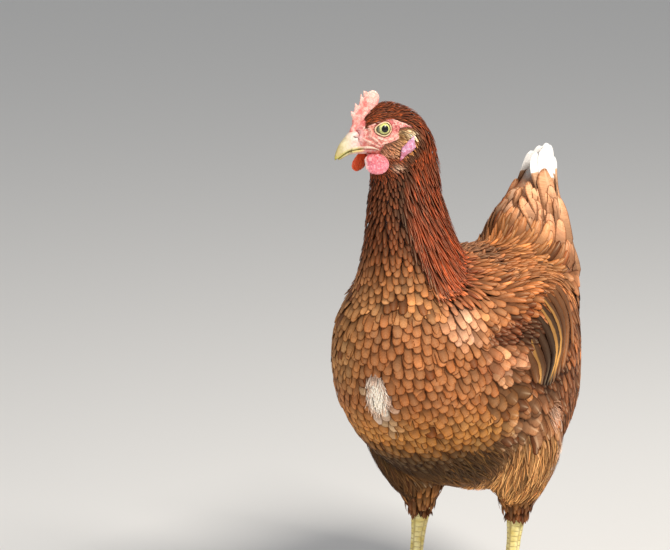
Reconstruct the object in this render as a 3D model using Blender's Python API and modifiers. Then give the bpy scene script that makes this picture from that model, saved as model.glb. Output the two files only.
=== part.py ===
"""A brown laying hen standing alert, life size, as a still display model.

Metres, +Z up. The hen faces -Y and her left side is at +X. The floor is at Z = 0, under her feet.
The trunk, neck, head, thighs, wings and tail are lofted as one whole bird, blended, and then parted
with thin cuts. The beak, comb, wattles, ear lobes, eyes, shanks, toes and claws are solids of their own.
"""

import math

import bmesh
import bpy
from mathutils import Matrix, Vector

# Clearance between two solids that touch.
GAP = 0.0003

# Stance: the hocks lie on the line Y = BODY_SHIFT, one foot a little ahead of the other.
BODY_SHIFT = 0.0077
HOCK_SPREAD = 0.036
HOCK_STRIDE = 0.017
HOCK_HEIGHT = 0.098
SHANK_LEAN = 0.018

# The head: the midpoint between the eyes, and how far it is turned to her right.
HEAD_PLACE = Vector((-0.0150, -0.1146, 0.4293))
HEAD_TURN = math.radians(30)

# Each row of a loft is one section, and the lofts run smoothly through their rows.
# Trunk: Y, height of the widest level, half width, reach above that level, reach below it.
TRUNK = (
    (-0.150, 0.246, 0.010, 0.012, 0.012),
    (-0.143, 0.246, 0.032, 0.036, 0.038),
    (-0.125, 0.245, 0.052, 0.060, 0.064),
    (-0.100, 0.243, 0.066, 0.076, 0.086),
    (-0.060, 0.238, 0.0765, 0.088, 0.104),
    (-0.010, 0.233, 0.079, 0.087, 0.117),
    (0.040, 0.228, 0.073, 0.087, 0.116),
    (0.080, 0.222, 0.058, 0.084, 0.100),
    (0.105, 0.216, 0.043, 0.072, 0.070),
    (0.125, 0.212, 0.025, 0.050, 0.040),
    (0.133, 0.212, 0.008, 0.014, 0.012),
)
# Neck: height, X and Y of its middle, half width, half depth, and degrees it is turned to her right.
NECK = (
    (0.262, 0.000, -0.082, 0.052, 0.050, 0),
    (0.290, 0.000, -0.085, 0.050, 0.050, 0),
    (0.317, 0.000, -0.0865, 0.0405, 0.0465, 4),
    (0.346, -0.001, -0.0920, 0.0295, 0.0395, 10),
    (0.373, -0.003, -0.0945, 0.0230, 0.0325, 20),
    (0.392, -0.003, -0.0942, 0.0200, 0.0288, 30),
    (0.410, -0.003, -0.0950, 0.0188, 0.0278, 30),
    (0.426, -0.003, -0.0970, 0.0150, 0.0220, 30),
    (0.436, -0.003, -0.0980, 0.0090, 0.0120, 30),
)
# Tail, a steep tent: as the neck.
TAIL = (
    (0.250, 0.000, 0.078, 0.050, 0.054, 0),
    (0.285, 0.000, 0.081, 0.043, 0.054, 0),
    (0.312, 0.000, 0.082, 0.034, 0.047, 0),
    (0.335, 0.000, 0.087, 0.0245, 0.037, 0),
    (0.357, 0.000, 0.097, 0.0145, 0.0235, 0),
    (0.374, 0.000, 0.107, 0.0095, 0.0165, 0),
    (0.384, 0.000, 0.111, 0.006, 0.0115, 0),
    (0.389, 0.000, 0.112, 0.002, 0.004, 0),
)
# Folded wing, left side: Y, X of its middle, height, half thickness, half height.
WING = (
    (-0.092, 0.050, 0.262, 0.006, 0.008),
    (-0.080, 0.053, 0.262, 0.016, 0.026),
    (-0.050, 0.058, 0.254, 0.024, 0.044),
    (-0.010, 0.0575, 0.248, 0.0245, 0.054),
    (0.030, 0.049, 0.249, 0.024, 0.050),
    (0.065, 0.037, 0.254, 0.021, 0.038),
    (0.090, 0.028, 0.259, 0.015, 0.024),
    (0.104, 0.024, 0.262, 0.007, 0.009),
)
# Thigh and drumstick, left side: height, X, Y from the hock, half width, half depth.
THIGH = (
    (0.200, 0.046, -0.012, 0.028, 0.040),
    (0.165, 0.046, -0.010, 0.030, 0.042),
    (0.140, 0.0435, -0.006, 0.026, 0.036),
    (0.122, 0.040, -0.003, 0.021, 0.028),
    (0.108, 0.0375, 0.000, 0.0145, 0.018),
    (0.100, 0.036, 0.001, 0.0095, 0.0115),
    (0.092, 0.036, 0.001, 0.008, 0.009),
)
# Head, in its own frame: distance ahead of the eyes, height of the widest level above them,
# half width, reach above that level, reach below it.
HEAD = (
    (0.0270, -0.0090, 0.0036, 0.0050, 0.0062),
    (0.0240, -0.0090, 0.0060, 0.0084, 0.0092),
    (0.0180, -0.0080, 0.0084, 0.0108, 0.0112),
    (0.0120, -0.0060, 0.0112, 0.0145, 0.0142),
    (0.0060, -0.0040, 0.0134, 0.0190, 0.0174),
    (0.0000, -0.0030, 0.0150, 0.0212, 0.0205),
    (-0.0080, -0.0040, 0.0166, 0.0227, 0.0235),
    (-0.0160, -0.0060, 0.0180, 0.0232, 0.0255),
    (-0.0260, -0.0090, 0.0192, 0.0222, 0.0260),
    (-0.0350, -0.0130, 0.0186, 0.0200, 0.0220),
    (-0.0425, -0.0190, 0.0150, 0.0150, 0.0150),
    (-0.0480, -0.0220, 0.0060, 0.0060, 0.0060),
)
# Beak halves, in the head's frame: ahead of the eyes, above them, half width, half height.
UPPER_BEAK = (
    (0.0130, -0.0075, 0.0040, 0.0045),
    (0.0180, -0.0075, 0.0064, 0.0066),
    (0.0222, -0.0075, 0.0070, 0.0073),
    (0.0255, -0.0094, 0.0062, 0.0061),
    (0.0286, -0.0122, 0.0051, 0.0048),
    (0.0318, -0.0146, 0.0038, 0.0038),
    (0.0341, -0.0175, 0.0026, 0.0029),
    (0.0355, -0.0208, 0.0014, 0.0019),
    (0.0361, -0.0235, 0.0004, 0.0005),
)
LOWER_BEAK = (
    (0.0150, -0.0170, 0.0066, 0.0024),
    (0.0210, -0.0173, 0.0056, 0.0023),
    (0.0260, -0.0187, 0.0042, 0.0020),
    (0.0300, -0.0208, 0.0027, 0.0015),
    (0.0328, -0.0229, 0.0010, 0.0006),
)
# The face's front edge over the root of the beak: how far ahead of the eyes, and its slope.
BEAK_ROOT = 0.0215
BEAK_SLOPE = 24
# Comb outline, in the head's frame: points and notches from the front of the base over the top and back.
COMB = (
    (0.0230, -0.0022),
    (0.0208, 0.0030),
    (0.0209, 0.0090),
    (0.0220, 0.0128),
    (0.0197, 0.0112),
    (0.0184, 0.0184),
    (0.0151, 0.0150),
    (0.0137, 0.0244),
    (0.0102, 0.0176),
    (0.0110, 0.0280),
    (0.0086, 0.0267),
    (0.0043, 0.0282),
    (0.0010, 0.0265),
    (-0.0006, 0.0226),
    (0.0012, 0.0180),
    (0.0040, 0.0146),
    (0.0095, 0.0050),
    (0.0165, -0.0030),
)
COMB_THICKNESS = 0.0032
EYE_RADIUS = 0.0064
EYE_PLACE = Vector((0.0100, 0.0003, 0.0005))
SOCKET_PLACE = Vector((0.0200, 0.0006, 0.0003))
SOCKET_SIZE = Vector((0.0080, 0.0082, 0.0070))
# Wattle and ear lobe: place, size, and degrees that each is turned out at its back.
WATTLE_PLACE = Vector((0.0106, 0.0052, -0.0276))
WATTLE_SIZE = Vector((0.0018, 0.0095, 0.0088))
WATTLE_TURN = 24
# Degrees that a wattle leans out at its foot.
WATTLE_LEAN = 20
# The right wattle swings this far ahead of the left.
WATTLE_SWING = 0.0032
LOBE_PLACE = Vector((0.0186, -0.0180, -0.0155))
LOBE_SIZE = Vector((0.0022, 0.0108, 0.0037))
LOBE_TURN = 8
LOBE_SLOPE = 61

# Shank: share of the way down from hock to sole, half width, half depth.
SHANK = (
    (0.00, 0.0086, 0.0096),
    (0.08, 0.0076, 0.0088),
    (0.25, 0.0056, 0.0066),
    (0.60, 0.0050, 0.0060),
    (0.78, 0.0058, 0.0066),
    (0.88, 0.0082, 0.0088),
    (0.96, 0.0090, 0.0100),
    (1.00, 0.0076, 0.0086),
)
# Toes: name, angle outwards from straight ahead, length beyond the foot pad, root height, root radius.
TOES = (
    ("middle", 2, 0.054, 0.0064, 0.0050),
    ("inner", -36, 0.036, 0.0060, 0.0046),
    ("outer", 38, 0.042, 0.0060, 0.0046),
    ("hind", -166, 0.020, 0.0085, 0.0040),
)
FOOT_PAD = 0.0098
TOE_END_RADIUS = 0.0034
CLAW_LENGTH = 0.0120
CLAW_RADIUS = 0.0021

# Blending: the size of the grain, and how many rounds of smoothing follow.
BODY_BLEND = (0.003, 10)
HEAD_BLEND = (0.0012, 5)
# How many triangles the whole bird keeps, the height above which her face keeps more of them,
# how readily her face gives them up against the rest, and how much that counts.
FLESH_TRIANGLES = 1850
FACE_HEIGHT = 0.392
FINE_WEIGHT = 0.86
FINE_EFFECT = 0.01

# Where the whole bird is parted: a point of each plane and its slope in degrees.
NAPE = Vector((0.012, 0.016, -0.030))
NAPE_SLOPE = 20
WITHERS = Vector((0, -0.085, 0.302))
WITHERS_SLOPE = 24
RUMP = Vector((0, 0.070, 0.285))
RUMP_SLOPE = -50
GROIN = Vector((0.012, 0, 0.120))
GROIN_SLOPE = -46
BREAST_BACK = -0.066
# A folded wing is parted from here outwards.
WING_OUTSIDE = 0.120
# Beyond everything.
FAR = 0.4
SIDES = (("left", 1), ("right", -1))

COLOURS = {
    "breast_feather": ((0.36, 0.16, 0.065), 0.75),
    "back_feather": ((0.34, 0.12, 0.042), 0.7),
    "hackle_feather": ((0.18, 0.045, 0.014), 0.6),
    "wing_feather": ((0.27, 0.10, 0.035), 0.65),
    "tail_feather": ((0.55, 0.25, 0.12), 0.7),
    "thigh_feather": ((0.42, 0.19, 0.07), 0.8),
    "face_skin": ((0.66, 0.24, 0.21), 0.5),
    "comb_skin": ((0.78, 0.30, 0.28), 0.45),
    "ear_lobe": ((0.75, 0.45, 0.50), 0.5),
    "horn": ((0.80, 0.68, 0.42), 0.4),
    "leg_scale": ((0.68, 0.50, 0.17), 0.5),
    "eye": ((0.30, 0.30, 0.10), 0.1),
}


def smooth_rows(keys, steps):
    """Rows on a Catmull-Rom curve through the key rows, steps of them from one key to the next."""
    last = len(keys) - 1
    rows = []
    for i in range(last * steps + 1):
        span = min(i // steps, last - 1)
        t = i / steps - span
        four = (keys[max(span - 1, 0)], keys[span], keys[span + 1], keys[min(span + 2, last)])
        weights = (
            (-t + 2 * t**2 - t**3) / 2,
            (2 - 5 * t**2 + 3 * t**3) / 2,
            (t + 4 * t**2 - 3 * t**3) / 2,
            (t**3 - t**2) / 2,
        )
        rows.append([sum(w * row[k] for w, row in zip(weights, four)) for k in range(len(keys[0]))])
    return rows


def oval(centre, across, up, half_width, above, below, count=24, fullness=2.0):
    """A ring of points round centre. Fullness 2 is an ellipse, and more is squarer."""
    ring = []
    for i in range(count):
        turn = 2 * math.pi * i / count
        c, s = math.cos(turn), math.sin(turn)
        x = math.copysign(abs(c) ** (2 / fullness), c) * half_width
        z = math.copysign(abs(s) ** (2 / fullness), s) * (above if s > 0 else below)
        ring.append(centre + across * x + up * z)
    return ring


def loft(rings):
    """A closed mesh through rings of equally many points, with a flat cap at each end."""
    shape = bmesh.new()
    loops = [[shape.verts.new(p) for p in ring] for ring in rings]
    for near, far in zip(loops, loops[1:]):
        for i in range(len(near)):
            j = (i + 1) % len(near)
            shape.faces.new((near[i], near[j], far[j]))
            shape.faces.new((near[i], far[j], far[i]))
    shape.faces.new(reversed(loops[0]))
    shape.faces.new(loops[-1])
    bmesh.ops.recalc_face_normals(shape, faces=shape.faces)
    return finished(shape)


def finished(shape):
    """The mesh that a bmesh holds."""
    mesh = bpy.data.meshes.new("shape")
    shape.to_mesh(mesh)
    shape.free()
    return mesh


def tube(path, across, half_widths, half_heights, count=12, fullness=2.0):
    """A closed mesh swept along a path, its width along across and its height square to the path."""
    rings = []
    for i, point in enumerate(path):
        along = (path[min(i + 1, len(path) - 1)] - path[max(i - 1, 0)]).normalized()
        up = across.cross(along).normalized()
        rings.append(oval(point, across, up, half_widths[i], half_heights[i], half_heights[i], count, fullness))
    return loft(rings)


def ball(radii, segments=12, rings=8):
    """An ellipsoid round the origin."""
    shape = bmesh.new()
    bmesh.ops.create_uvsphere(shape, u_segments=segments, v_segments=rings, radius=1.0)
    bmesh.ops.scale(shape, vec=radii, verts=shape.verts)
    return finished(shape)


def moved(mesh, matrix):
    """The same mesh, placed by a matrix, with its faces still pointing out."""
    mesh.transform(matrix)
    if matrix.determinant() < 0:
        mesh.flip_normals()
    return mesh


def joined(meshes):
    """One mesh of several, overlapping where they do."""
    shape = bmesh.new()
    for mesh in meshes:
        shape.from_mesh(mesh)
    return finished(shape)


def helper(name, mesh):
    """An object that only cuts or is cut, left out of the model."""
    thing = bpy.data.objects.new(name, mesh)
    bpy.data.collections["cutters"].objects.link(thing)
    thing.hide_render = True
    thing.display_type = "WIRE"
    return thing


def evaluated(thing):
    """The mesh that an object's modifiers give."""
    bpy.context.view_layer.update()
    graph = bpy.context.evaluated_depsgraph_get()
    return bpy.data.meshes.new_from_object(thing.evaluated_get(graph))


def blended(mesh, voxel, rounds):
    """Overlapping lofts made one skin, with their creases smoothed."""
    thing = helper("blend", mesh)
    remesh = thing.modifiers.new("Remesh", "REMESH")
    remesh.mode = "VOXEL"
    remesh.voxel_size = voxel
    smooth = thing.modifiers.new("Smooth", "SMOOTH")
    smooth.factor = 0.5
    smooth.iterations = rounds
    result = evaluated(thing)
    bpy.data.objects.remove(thing)
    return result


def thinned(mesh, triangles, fine_above):
    """The mesh with about that many triangles, fewest where it is flattest, and finer above a height."""
    thing = helper("thin", mesh)
    weights = thing.vertex_groups.new(name="thinning")
    weights.add([v.index for v in mesh.vertices if v.co.z > fine_above], FINE_WEIGHT, "REPLACE")
    weights.add([v.index for v in mesh.vertices if v.co.z <= fine_above], 1.0, "REPLACE")
    decimate = thing.modifiers.new("Decimate", "DECIMATE")
    decimate.vertex_group = weights.name
    decimate.vertex_group_factor = FINE_EFFECT
    faces = sum(len(p.vertices) - 2 for p in mesh.polygons)
    decimate.ratio = triangles / faces
    result = evaluated(thing)
    bpy.data.objects.remove(thing)
    return result


def grown(mesh, by):
    """A copy of a closed smooth mesh, larger all round."""
    copy = mesh.copy()
    copy.update()
    normals = [v.normal.copy() for v in copy.vertices]
    for vertex, normal in zip(copy.vertices, normals):
        vertex.co += normal * by
    return copy


def combined(mesh, operation, others):
    """The mesh after a Boolean with each of the others."""
    thing = helper("cut", mesh)
    cutters = [helper("cutter", other) for other in others]
    for cutter in cutters:
        boolean = thing.modifiers.new("Boolean", "BOOLEAN")
        boolean.operation = operation
        boolean.solver = "EXACT"
        boolean.object = cutter
    result = evaluated(thing)
    for spent in (thing, *cutters):
        bpy.data.objects.remove(spent)
    return result


def block(low, high, matrix=None):
    """A box between two corners, placed by a matrix."""
    shape = bmesh.new()
    bmesh.ops.create_cube(shape, size=1.0)
    size = Vector(high) - Vector(low)
    bmesh.ops.scale(shape, vec=size, verts=shape.verts)
    bmesh.ops.translate(shape, vec=(Vector(high) + Vector(low)) / 2, verts=shape.verts)
    mesh = finished(shape)
    return moved(mesh, matrix) if matrix else mesh


def split(mesh, zone, grown_zone):
    """(what lies in the zone, what lies outside it), with the gap between them."""
    return combined(mesh, "INTERSECT", [zone]), combined(mesh, "DIFFERENCE", [grown_zone])


def split_by_block(mesh, low, high, matrix=None):
    """Split at a box, whose grown copy is larger by the gap on every side."""
    margin = Vector((GAP, GAP, GAP))
    wide = block(Vector(low) - margin, Vector(high) + margin, matrix)
    return split(mesh, block(low, high, matrix), wide)


def largest_piece(mesh):
    """The biggest of a mesh's separate pieces, without crumbs that a cut may leave."""
    shape = bmesh.new()
    shape.from_mesh(mesh)
    bmesh.ops.remove_doubles(shape, verts=shape.verts, dist=1e-6)
    unseen = set(shape.verts)
    pieces = []
    while unseen:
        piece, front = set(), {unseen.pop()}
        while front:
            piece |= front
            front = {e.other_vert(v) for v in front for e in v.link_edges} - piece
        unseen -= piece
        pieces.append(piece)
    best = max(pieces, key=len)
    bmesh.ops.delete(shape, geom=[v for v in shape.verts if v not in best], context="VERTS")
    return finished(shape)


def head_frame():
    """The matrix from the head's frame (X her left, Y ahead, Z up) to the hen's."""
    facing = Matrix.Rotation(math.pi - HEAD_TURN, 4, "Z")
    mirror = Matrix.Diagonal((-1, 1, 1, 1))
    return Matrix.Translation(HEAD_PLACE) @ facing @ mirror


def trunk_mesh():
    rings = [
        oval(Vector((0, y, level)), Vector((1, 0, 0)), Vector((0, 0, 1)), width, above, below, 32, 2.15)
        for y, level, width, above, below in smooth_rows(TRUNK, 4)
    ]
    return loft(rings)


def upright_mesh(keys):
    """A loft of level ovals, for the neck and the tail."""
    rings = []
    for z, x, y, width, depth, degrees in smooth_rows(keys, 4):
        turn = Matrix.Rotation(-math.radians(degrees), 3, "Z")
        across, along = turn @ Vector((1, 0, 0)), turn @ Vector((0, 1, 0))
        rings.append(oval(Vector((x, y, z)), across, along, width, depth, depth, 32))
    return loft(rings)


def wing_mesh(side):
    rings = [
        oval(Vector((side * x, y, z)), Vector((1, 0, 0)), Vector((0, 0, 1)), thick, tall, tall, 24, 2.1)
        for y, x, z, thick, tall in smooth_rows(WING, 4)
    ]
    return loft(rings)


def wing_zone(side, grow):
    """The block of space that parts a folded wing from the trunk, open on its outer side."""
    outer = WING_OUTSIDE
    rings = []
    for y, x, z, thick, tall in WING:
        inner = x - 0.25 * thick - grow
        middle = Vector((side * (inner + outer) / 2, y, z))
        half = (outer - inner) / 2
        height = 0.92 * tall + grow
        rings.append(oval(middle, Vector((1, 0, 0)), Vector((0, 0, 1)), half, height, height, 16, 4.0))
    for ring, push in ((rings[0], -grow), (rings[-1], grow)):
        for point in ring:
            point.y += push
    return loft(rings)


def thigh_mesh(side):
    stride = side * HOCK_STRIDE
    rings = [
        oval(Vector((side * x, stride + y, z)), Vector((1, 0, 0)), Vector((0, 1, 0)), width, depth, depth, 24)
        for z, x, y, width, depth in smooth_rows(THIGH, 4)
    ]
    return loft(rings)


def head_mesh():
    rings = [
        oval(Vector((0, ahead, level)), Vector((1, 0, 0)), Vector((0, 0, 1)), width, above, below, 32, 2.2)
        for ahead, level, width, above, below in smooth_rows(HEAD, 4)
    ]
    return moved(loft(rings), head_frame())


def beak_mesh(keys):
    rows = smooth_rows(keys, 2)
    path = [Vector((0, ahead, height)) for ahead, height, _, _ in rows]
    mesh = tube(path, Vector((1, 0, 0)), [r[2] for r in rows], [r[3] for r in rows], 12, 2.1)
    return moved(mesh, head_frame())


def comb_mesh():
    """A blade with rounded edges, cut as a flat outline and stood on edge along the head."""
    outline = bpy.data.curves.new("comb", "CURVE")
    outline.dimensions = "2D"
    outline.fill_mode = "BOTH"
    bevel = 0.0009
    outline.extrude = COMB_THICKNESS / 2 - bevel
    outline.bevel_depth = bevel
    outline.bevel_resolution = 0
    outline.resolution_u = 2
    spline = outline.splines.new("BEZIER")
    spline.bezier_points.add(len(COMB) - 1)
    for point, (ahead, up) in zip(spline.bezier_points, COMB):
        point.co = (ahead, up, 0)
        point.handle_left_type = point.handle_right_type = "AUTO"
    spline.use_cyclic_u = True
    thing = helper("comb outline", outline)
    mesh = evaluated(thing)
    bpy.data.objects.remove(thing)
    shape = bmesh.new()
    shape.from_mesh(mesh)
    bmesh.ops.remove_doubles(shape, verts=shape.verts, dist=1e-5)
    bmesh.ops.recalc_face_normals(shape, faces=shape.faces)
    upright = Matrix(((0, 0, 1, 0), (1, 0, 0, 0), (0, 1, 0, 0), (0, 0, 0, 1)))
    return moved(finished(shape), head_frame() @ upright)


def eye_mesh(side):
    place = Matrix.Translation(Vector((side * EYE_PLACE.x, EYE_PLACE.y, EYE_PLACE.z)))
    return moved(ball((EYE_RADIUS,) * 3), head_frame() @ place)


def socket_mesh(side):
    """The hollow that the lids leave round an eye."""
    place = Matrix.Translation(Vector((side * SOCKET_PLACE.x, SOCKET_PLACE.y, SOCKET_PLACE.z)))
    return moved(ball(SOCKET_SIZE), head_frame() @ place)


def wattle_mesh(side):
    """A hanging lobe, splayed outwards a little and fuller below."""
    mesh = ball(WATTLE_SIZE, 10, 8)
    for vertex in mesh.vertices:
        drop = -vertex.co.z / WATTLE_SIZE.z
        vertex.co.y *= 1 + 0.10 * drop
        vertex.co.x *= 1 + 0.20 * drop
    splay = Matrix.Rotation(side * math.radians(WATTLE_TURN), 4, "Z")
    splay = splay @ Matrix.Rotation(side * -math.radians(WATTLE_LEAN), 4, "Y")
    ahead = WATTLE_PLACE.y + (WATTLE_SWING if side < 0 else 0)
    place = Matrix.Translation(Vector((side * WATTLE_PLACE.x, ahead, WATTLE_PLACE.z)))
    return moved(mesh, head_frame() @ place @ splay)


def lobe_mesh(side):
    """The ear lobe, a pad that slopes down and forward behind the cheek."""
    slope = Matrix.Rotation(-math.radians(LOBE_SLOPE), 4, "X")
    splay = Matrix.Rotation(side * math.radians(LOBE_TURN), 4, "Z")
    place = Matrix.Translation(Vector((side * LOBE_PLACE.x, LOBE_PLACE.y, LOBE_PLACE.z)))
    return moved(ball(LOBE_SIZE, 10, 6), head_frame() @ place @ splay @ slope)


def hock_place(side):
    return Vector((side * HOCK_SPREAD, side * HOCK_STRIDE, HOCK_HEIGHT))


def foot_place(side):
    return Vector((side * HOCK_SPREAD, side * HOCK_STRIDE - SHANK_LEAN, 0))


def shank_mesh(side):
    """The bare leg from hock to foot pad, with a flat sole."""
    top = hock_place(side) - Vector((0, 0, GAP))
    bottom = foot_place(side)
    rings = []
    for share, width, depth in smooth_rows(SHANK, 2):
        share = min(max(share, 0.0), 1.0)
        centre = top.lerp(bottom, share)
        rings.append(oval(centre, Vector((1, 0, 0)), Vector((0, 1, 0)), width, depth, depth, 8))
    return loft(rings)


def toe_line(side, angle, length, root_height):
    """(root, direction, end) of a toe's middle line."""
    turn = math.radians(angle) * side
    direction = Vector((math.sin(turn), -math.cos(turn), 0))
    root = foot_place(side) + direction * (FOOT_PAD - 0.002)
    root.z = root_height
    end = root + direction * length
    end.z = TOE_END_RADIUS * 1.05
    return root, direction, end


def toe_mesh(side, angle, length, root_height, root_radius):
    """A toe with a swelling at each joint, flat where it meets the floor."""
    root, direction, end = toe_line(side, angle, length, root_height)
    joints = max(2, round(length / 0.014))
    steps = 2 * joints + 1
    across = Vector((-direction.y, direction.x, 0))
    path, radii = [], []
    for i in range(steps + 1):
        share = i / steps
        swell = 1 + 0.10 * math.cos(2 * math.pi * share * joints)
        path.append(root.lerp(end, share))
        radii.append((root_radius + (TOE_END_RADIUS - root_radius) * share) * swell)
    mesh = tube(path, across, radii, [r * 1.08 for r in radii], 8)
    for vertex in mesh.vertices:
        vertex.co.z = max(vertex.co.z, 0.0)
    return mesh


def claw_mesh(side, angle, length, root_height):
    """A claw that curves down from the end of its toe to just above the floor."""
    _, direction, end = toe_line(side, angle, length, root_height)
    across = Vector((-direction.y, direction.x, 0))
    steps = 4
    path, radii = [], []
    for i in range(steps + 1):
        share = i / steps
        bend = 0.9 * share
        ahead = CLAW_LENGTH * math.sin(bend) / 0.9
        drop = CLAW_LENGTH * (1 - math.cos(bend)) / 0.9
        path.append(end + direction * (ahead - 0.0015) + Vector((0, 0, 0.0022 - 0.9 * drop)))
        radii.append(CLAW_RADIUS * (1 - 0.88 * share**1.4))
    return tube(path, across, [0.85 * r for r in radii], radii, 6)


def add_node(name, mesh, colour, home):
    """A finished piece as a named object with its own material, standing with the rest of the hen."""
    mesh.name = name
    thing = bpy.data.objects.new(name, mesh)
    bpy.data.collections["hen"].objects.link(thing)
    thing.parent = home
    rgb, roughness = COLOURS[colour]
    material = bpy.data.materials.new(name)
    material.use_nodes = True
    shader = material.node_tree.nodes["Principled BSDF"]
    shader.inputs["Base Color"].default_value = (*rgb, 1)
    shader.inputs["Roughness"].default_value = roughness
    mesh.materials.clear()
    mesh.materials.append(material)
    mesh.shade_smooth()
    mesh.set_sharp_from_angle(angle=math.radians(40))
    return thing


def start_scene():
    """An empty scene with the two collections and the point that the hen stands on."""
    for thing in list(bpy.data.objects):
        bpy.data.objects.remove(thing)
    for name in ("hen", "cutters"):
        bpy.context.scene.collection.children.link(bpy.data.collections.new(name))
    home = bpy.data.objects.new("standing_point", None)
    home.location = (0, BODY_SHIFT, 0)
    bpy.data.collections["hen"].objects.link(home)
    return home


def whole_bird():
    """The feathered bird without beak, comb, eyes or feet, as one blended mesh."""
    lofts = [trunk_mesh(), upright_mesh(NECK), upright_mesh(TAIL)]
    for _, side in SIDES:
        lofts += [wing_mesh(side), thigh_mesh(side)]
    body = blended(joined(lofts), *BODY_BLEND)
    bird = blended(joined([body, head_mesh()]), *HEAD_BLEND)
    return thinned(bird, FLESH_TRIANGLES, FACE_HEIGHT)


def part_the_bird(bird, home):
    """Parts the whole bird with thin cuts into its named pieces."""
    # Below the hocks nothing of the drumsticks stays.
    bird = combined(bird, "DIFFERENCE", [block((-FAR, -FAR, -FAR), (FAR, FAR, HOCK_HEIGHT))])

    for name, side in SIDES:
        wing, bird = split(bird, wing_zone(side, 0), wing_zone(side, GAP))
        add_node(f"wing_{name}", largest_piece(wing), "wing_feather", home)

    # The head above a plane that falls from the nape to the throat.
    nape = Matrix.Translation(HEAD_PLACE + NAPE)
    nape = nape @ Matrix.Rotation(-HEAD_TURN, 4, "Z") @ Matrix.Rotation(math.radians(NAPE_SLOPE), 4, "X")
    head, bird = split_by_block(bird, (-FAR, -FAR, 0), (FAR, FAR, FAR), nape)

    # The neck above a plane that falls from the back to the top of the breast.
    withers = Matrix.Translation(WITHERS) @ Matrix.Rotation(math.radians(WITHERS_SLOPE), 4, "X")
    neck, bird = split_by_block(bird, (-FAR, -0.12, 0), (FAR, 0.075, FAR), withers)
    add_node("neck", largest_piece(neck), "hackle_feather", home)

    # The tail behind a plane that rises from the vent to the saddle.
    rump = Matrix.Translation(RUMP) @ Matrix.Rotation(math.radians(RUMP_SLOPE), 4, "X")
    tail, bird = split_by_block(bird, (-FAR, -FAR, 0), (FAR, FAR, FAR), rump)
    add_node("tail", largest_piece(tail), "tail_feather", home)

    # Each thigh below a slanting plane that the belly doesn't reach.
    for name, side in SIDES:
        groin = Matrix.Translation((side * GROIN.x, side * HOCK_STRIDE, GROIN.z))
        groin = groin @ Matrix.Rotation(side * math.radians(GROIN_SLOPE), 4, "Y")
        low, high = sorted((0.0, side * 0.13))
        thigh, bird = split_by_block(bird, (low, -0.062, -0.08), (high, 0.056, 0), groin)
        add_node(f"thigh_{name}", largest_piece(thigh), "thigh_feather", home)

    # The breast ahead of an upright plane.
    breast, bird = split_by_block(bird, (-FAR, -FAR, -FAR), (FAR, BREAST_BACK, FAR))
    add_node("breast", largest_piece(breast), "breast_feather", home)
    add_node("trunk", largest_piece(bird), "back_feather", home)
    return largest_piece(head)


def dress_the_head(head, home):
    """Sets beak, comb, eyes, wattles and ear lobes into the head."""
    upper = beak_mesh(UPPER_BEAK)
    comb = comb_mesh()
    lower = combined(beak_mesh(LOWER_BEAK), "DIFFERENCE", [grown(upper, GAP)])
    # The face ends in a clean edge round the root of the beak.
    muzzle = head_frame() @ Matrix.Translation((0, BEAK_ROOT, 0)) @ Matrix.Rotation(math.radians(BEAK_SLOPE), 4, "X")
    ahead = block((-0.05, 0, -0.0128), (0.05, 0.05, 0.05), muzzle)
    set_in = [upper, beak_mesh(LOWER_BEAK), comb, ahead]
    for name, side in SIDES:
        eye = eye_mesh(side)
        wattle = wattle_mesh(side)
        lobe = lobe_mesh(side)
        add_node(f"eye_{name}", eye, "eye", home)
        add_node(f"wattle_{name}", wattle, "comb_skin", home)
        add_node(f"ear_lobe_{name}", lobe, "ear_lobe", home)
        set_in += [eye, wattle, lobe, socket_mesh(side)]
    upper = combined(upper, "DIFFERENCE", [grown(comb, GAP)])
    add_node("beak_upper", largest_piece(upper), "horn", home)
    add_node("beak_lower", largest_piece(lower), "horn", home)
    add_node("comb", comb, "comb_skin", home)
    head = combined(head, "DIFFERENCE", [grown(mesh, GAP) for mesh in set_in])
    add_node("head", largest_piece(head), "face_skin", home)


def build_legs(home):
    """Shanks, toes and claws, each cut clear of the one it grows from."""
    for name, side in SIDES:
        shank = shank_mesh(side)
        add_node(f"shank_{name}", shank, "leg_scale", home)
        neighbours = [grown(shank, GAP)]
        for toe, angle, length, height, radius in TOES:
            whole = toe_mesh(side, angle, length, height, radius)
            claw = claw_mesh(side, angle, length, height)
            cut = combined(whole, "DIFFERENCE", neighbours)
            neighbours.append(grown(whole, GAP))
            add_node(f"toe_{toe}_{name}", largest_piece(cut), "leg_scale", home)
            cut = combined(claw, "DIFFERENCE", [grown(whole, GAP)])
            add_node(f"claw_{toe}_{name}", largest_piece(cut), "horn", home)


def main():
    home = start_scene()
    head = part_the_bird(whole_bird(), home)
    dress_the_head(head, home)
    build_legs(home)


main()
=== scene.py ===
# Brown laying hen standing alert, life size: skin, plumage, head, legs and studio.
import math
from functools import partial

import bmesh
import bpy
import numpy as np
from mathutils import Matrix, Vector, noise
from mathutils.bvhtree import BVHTree


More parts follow.
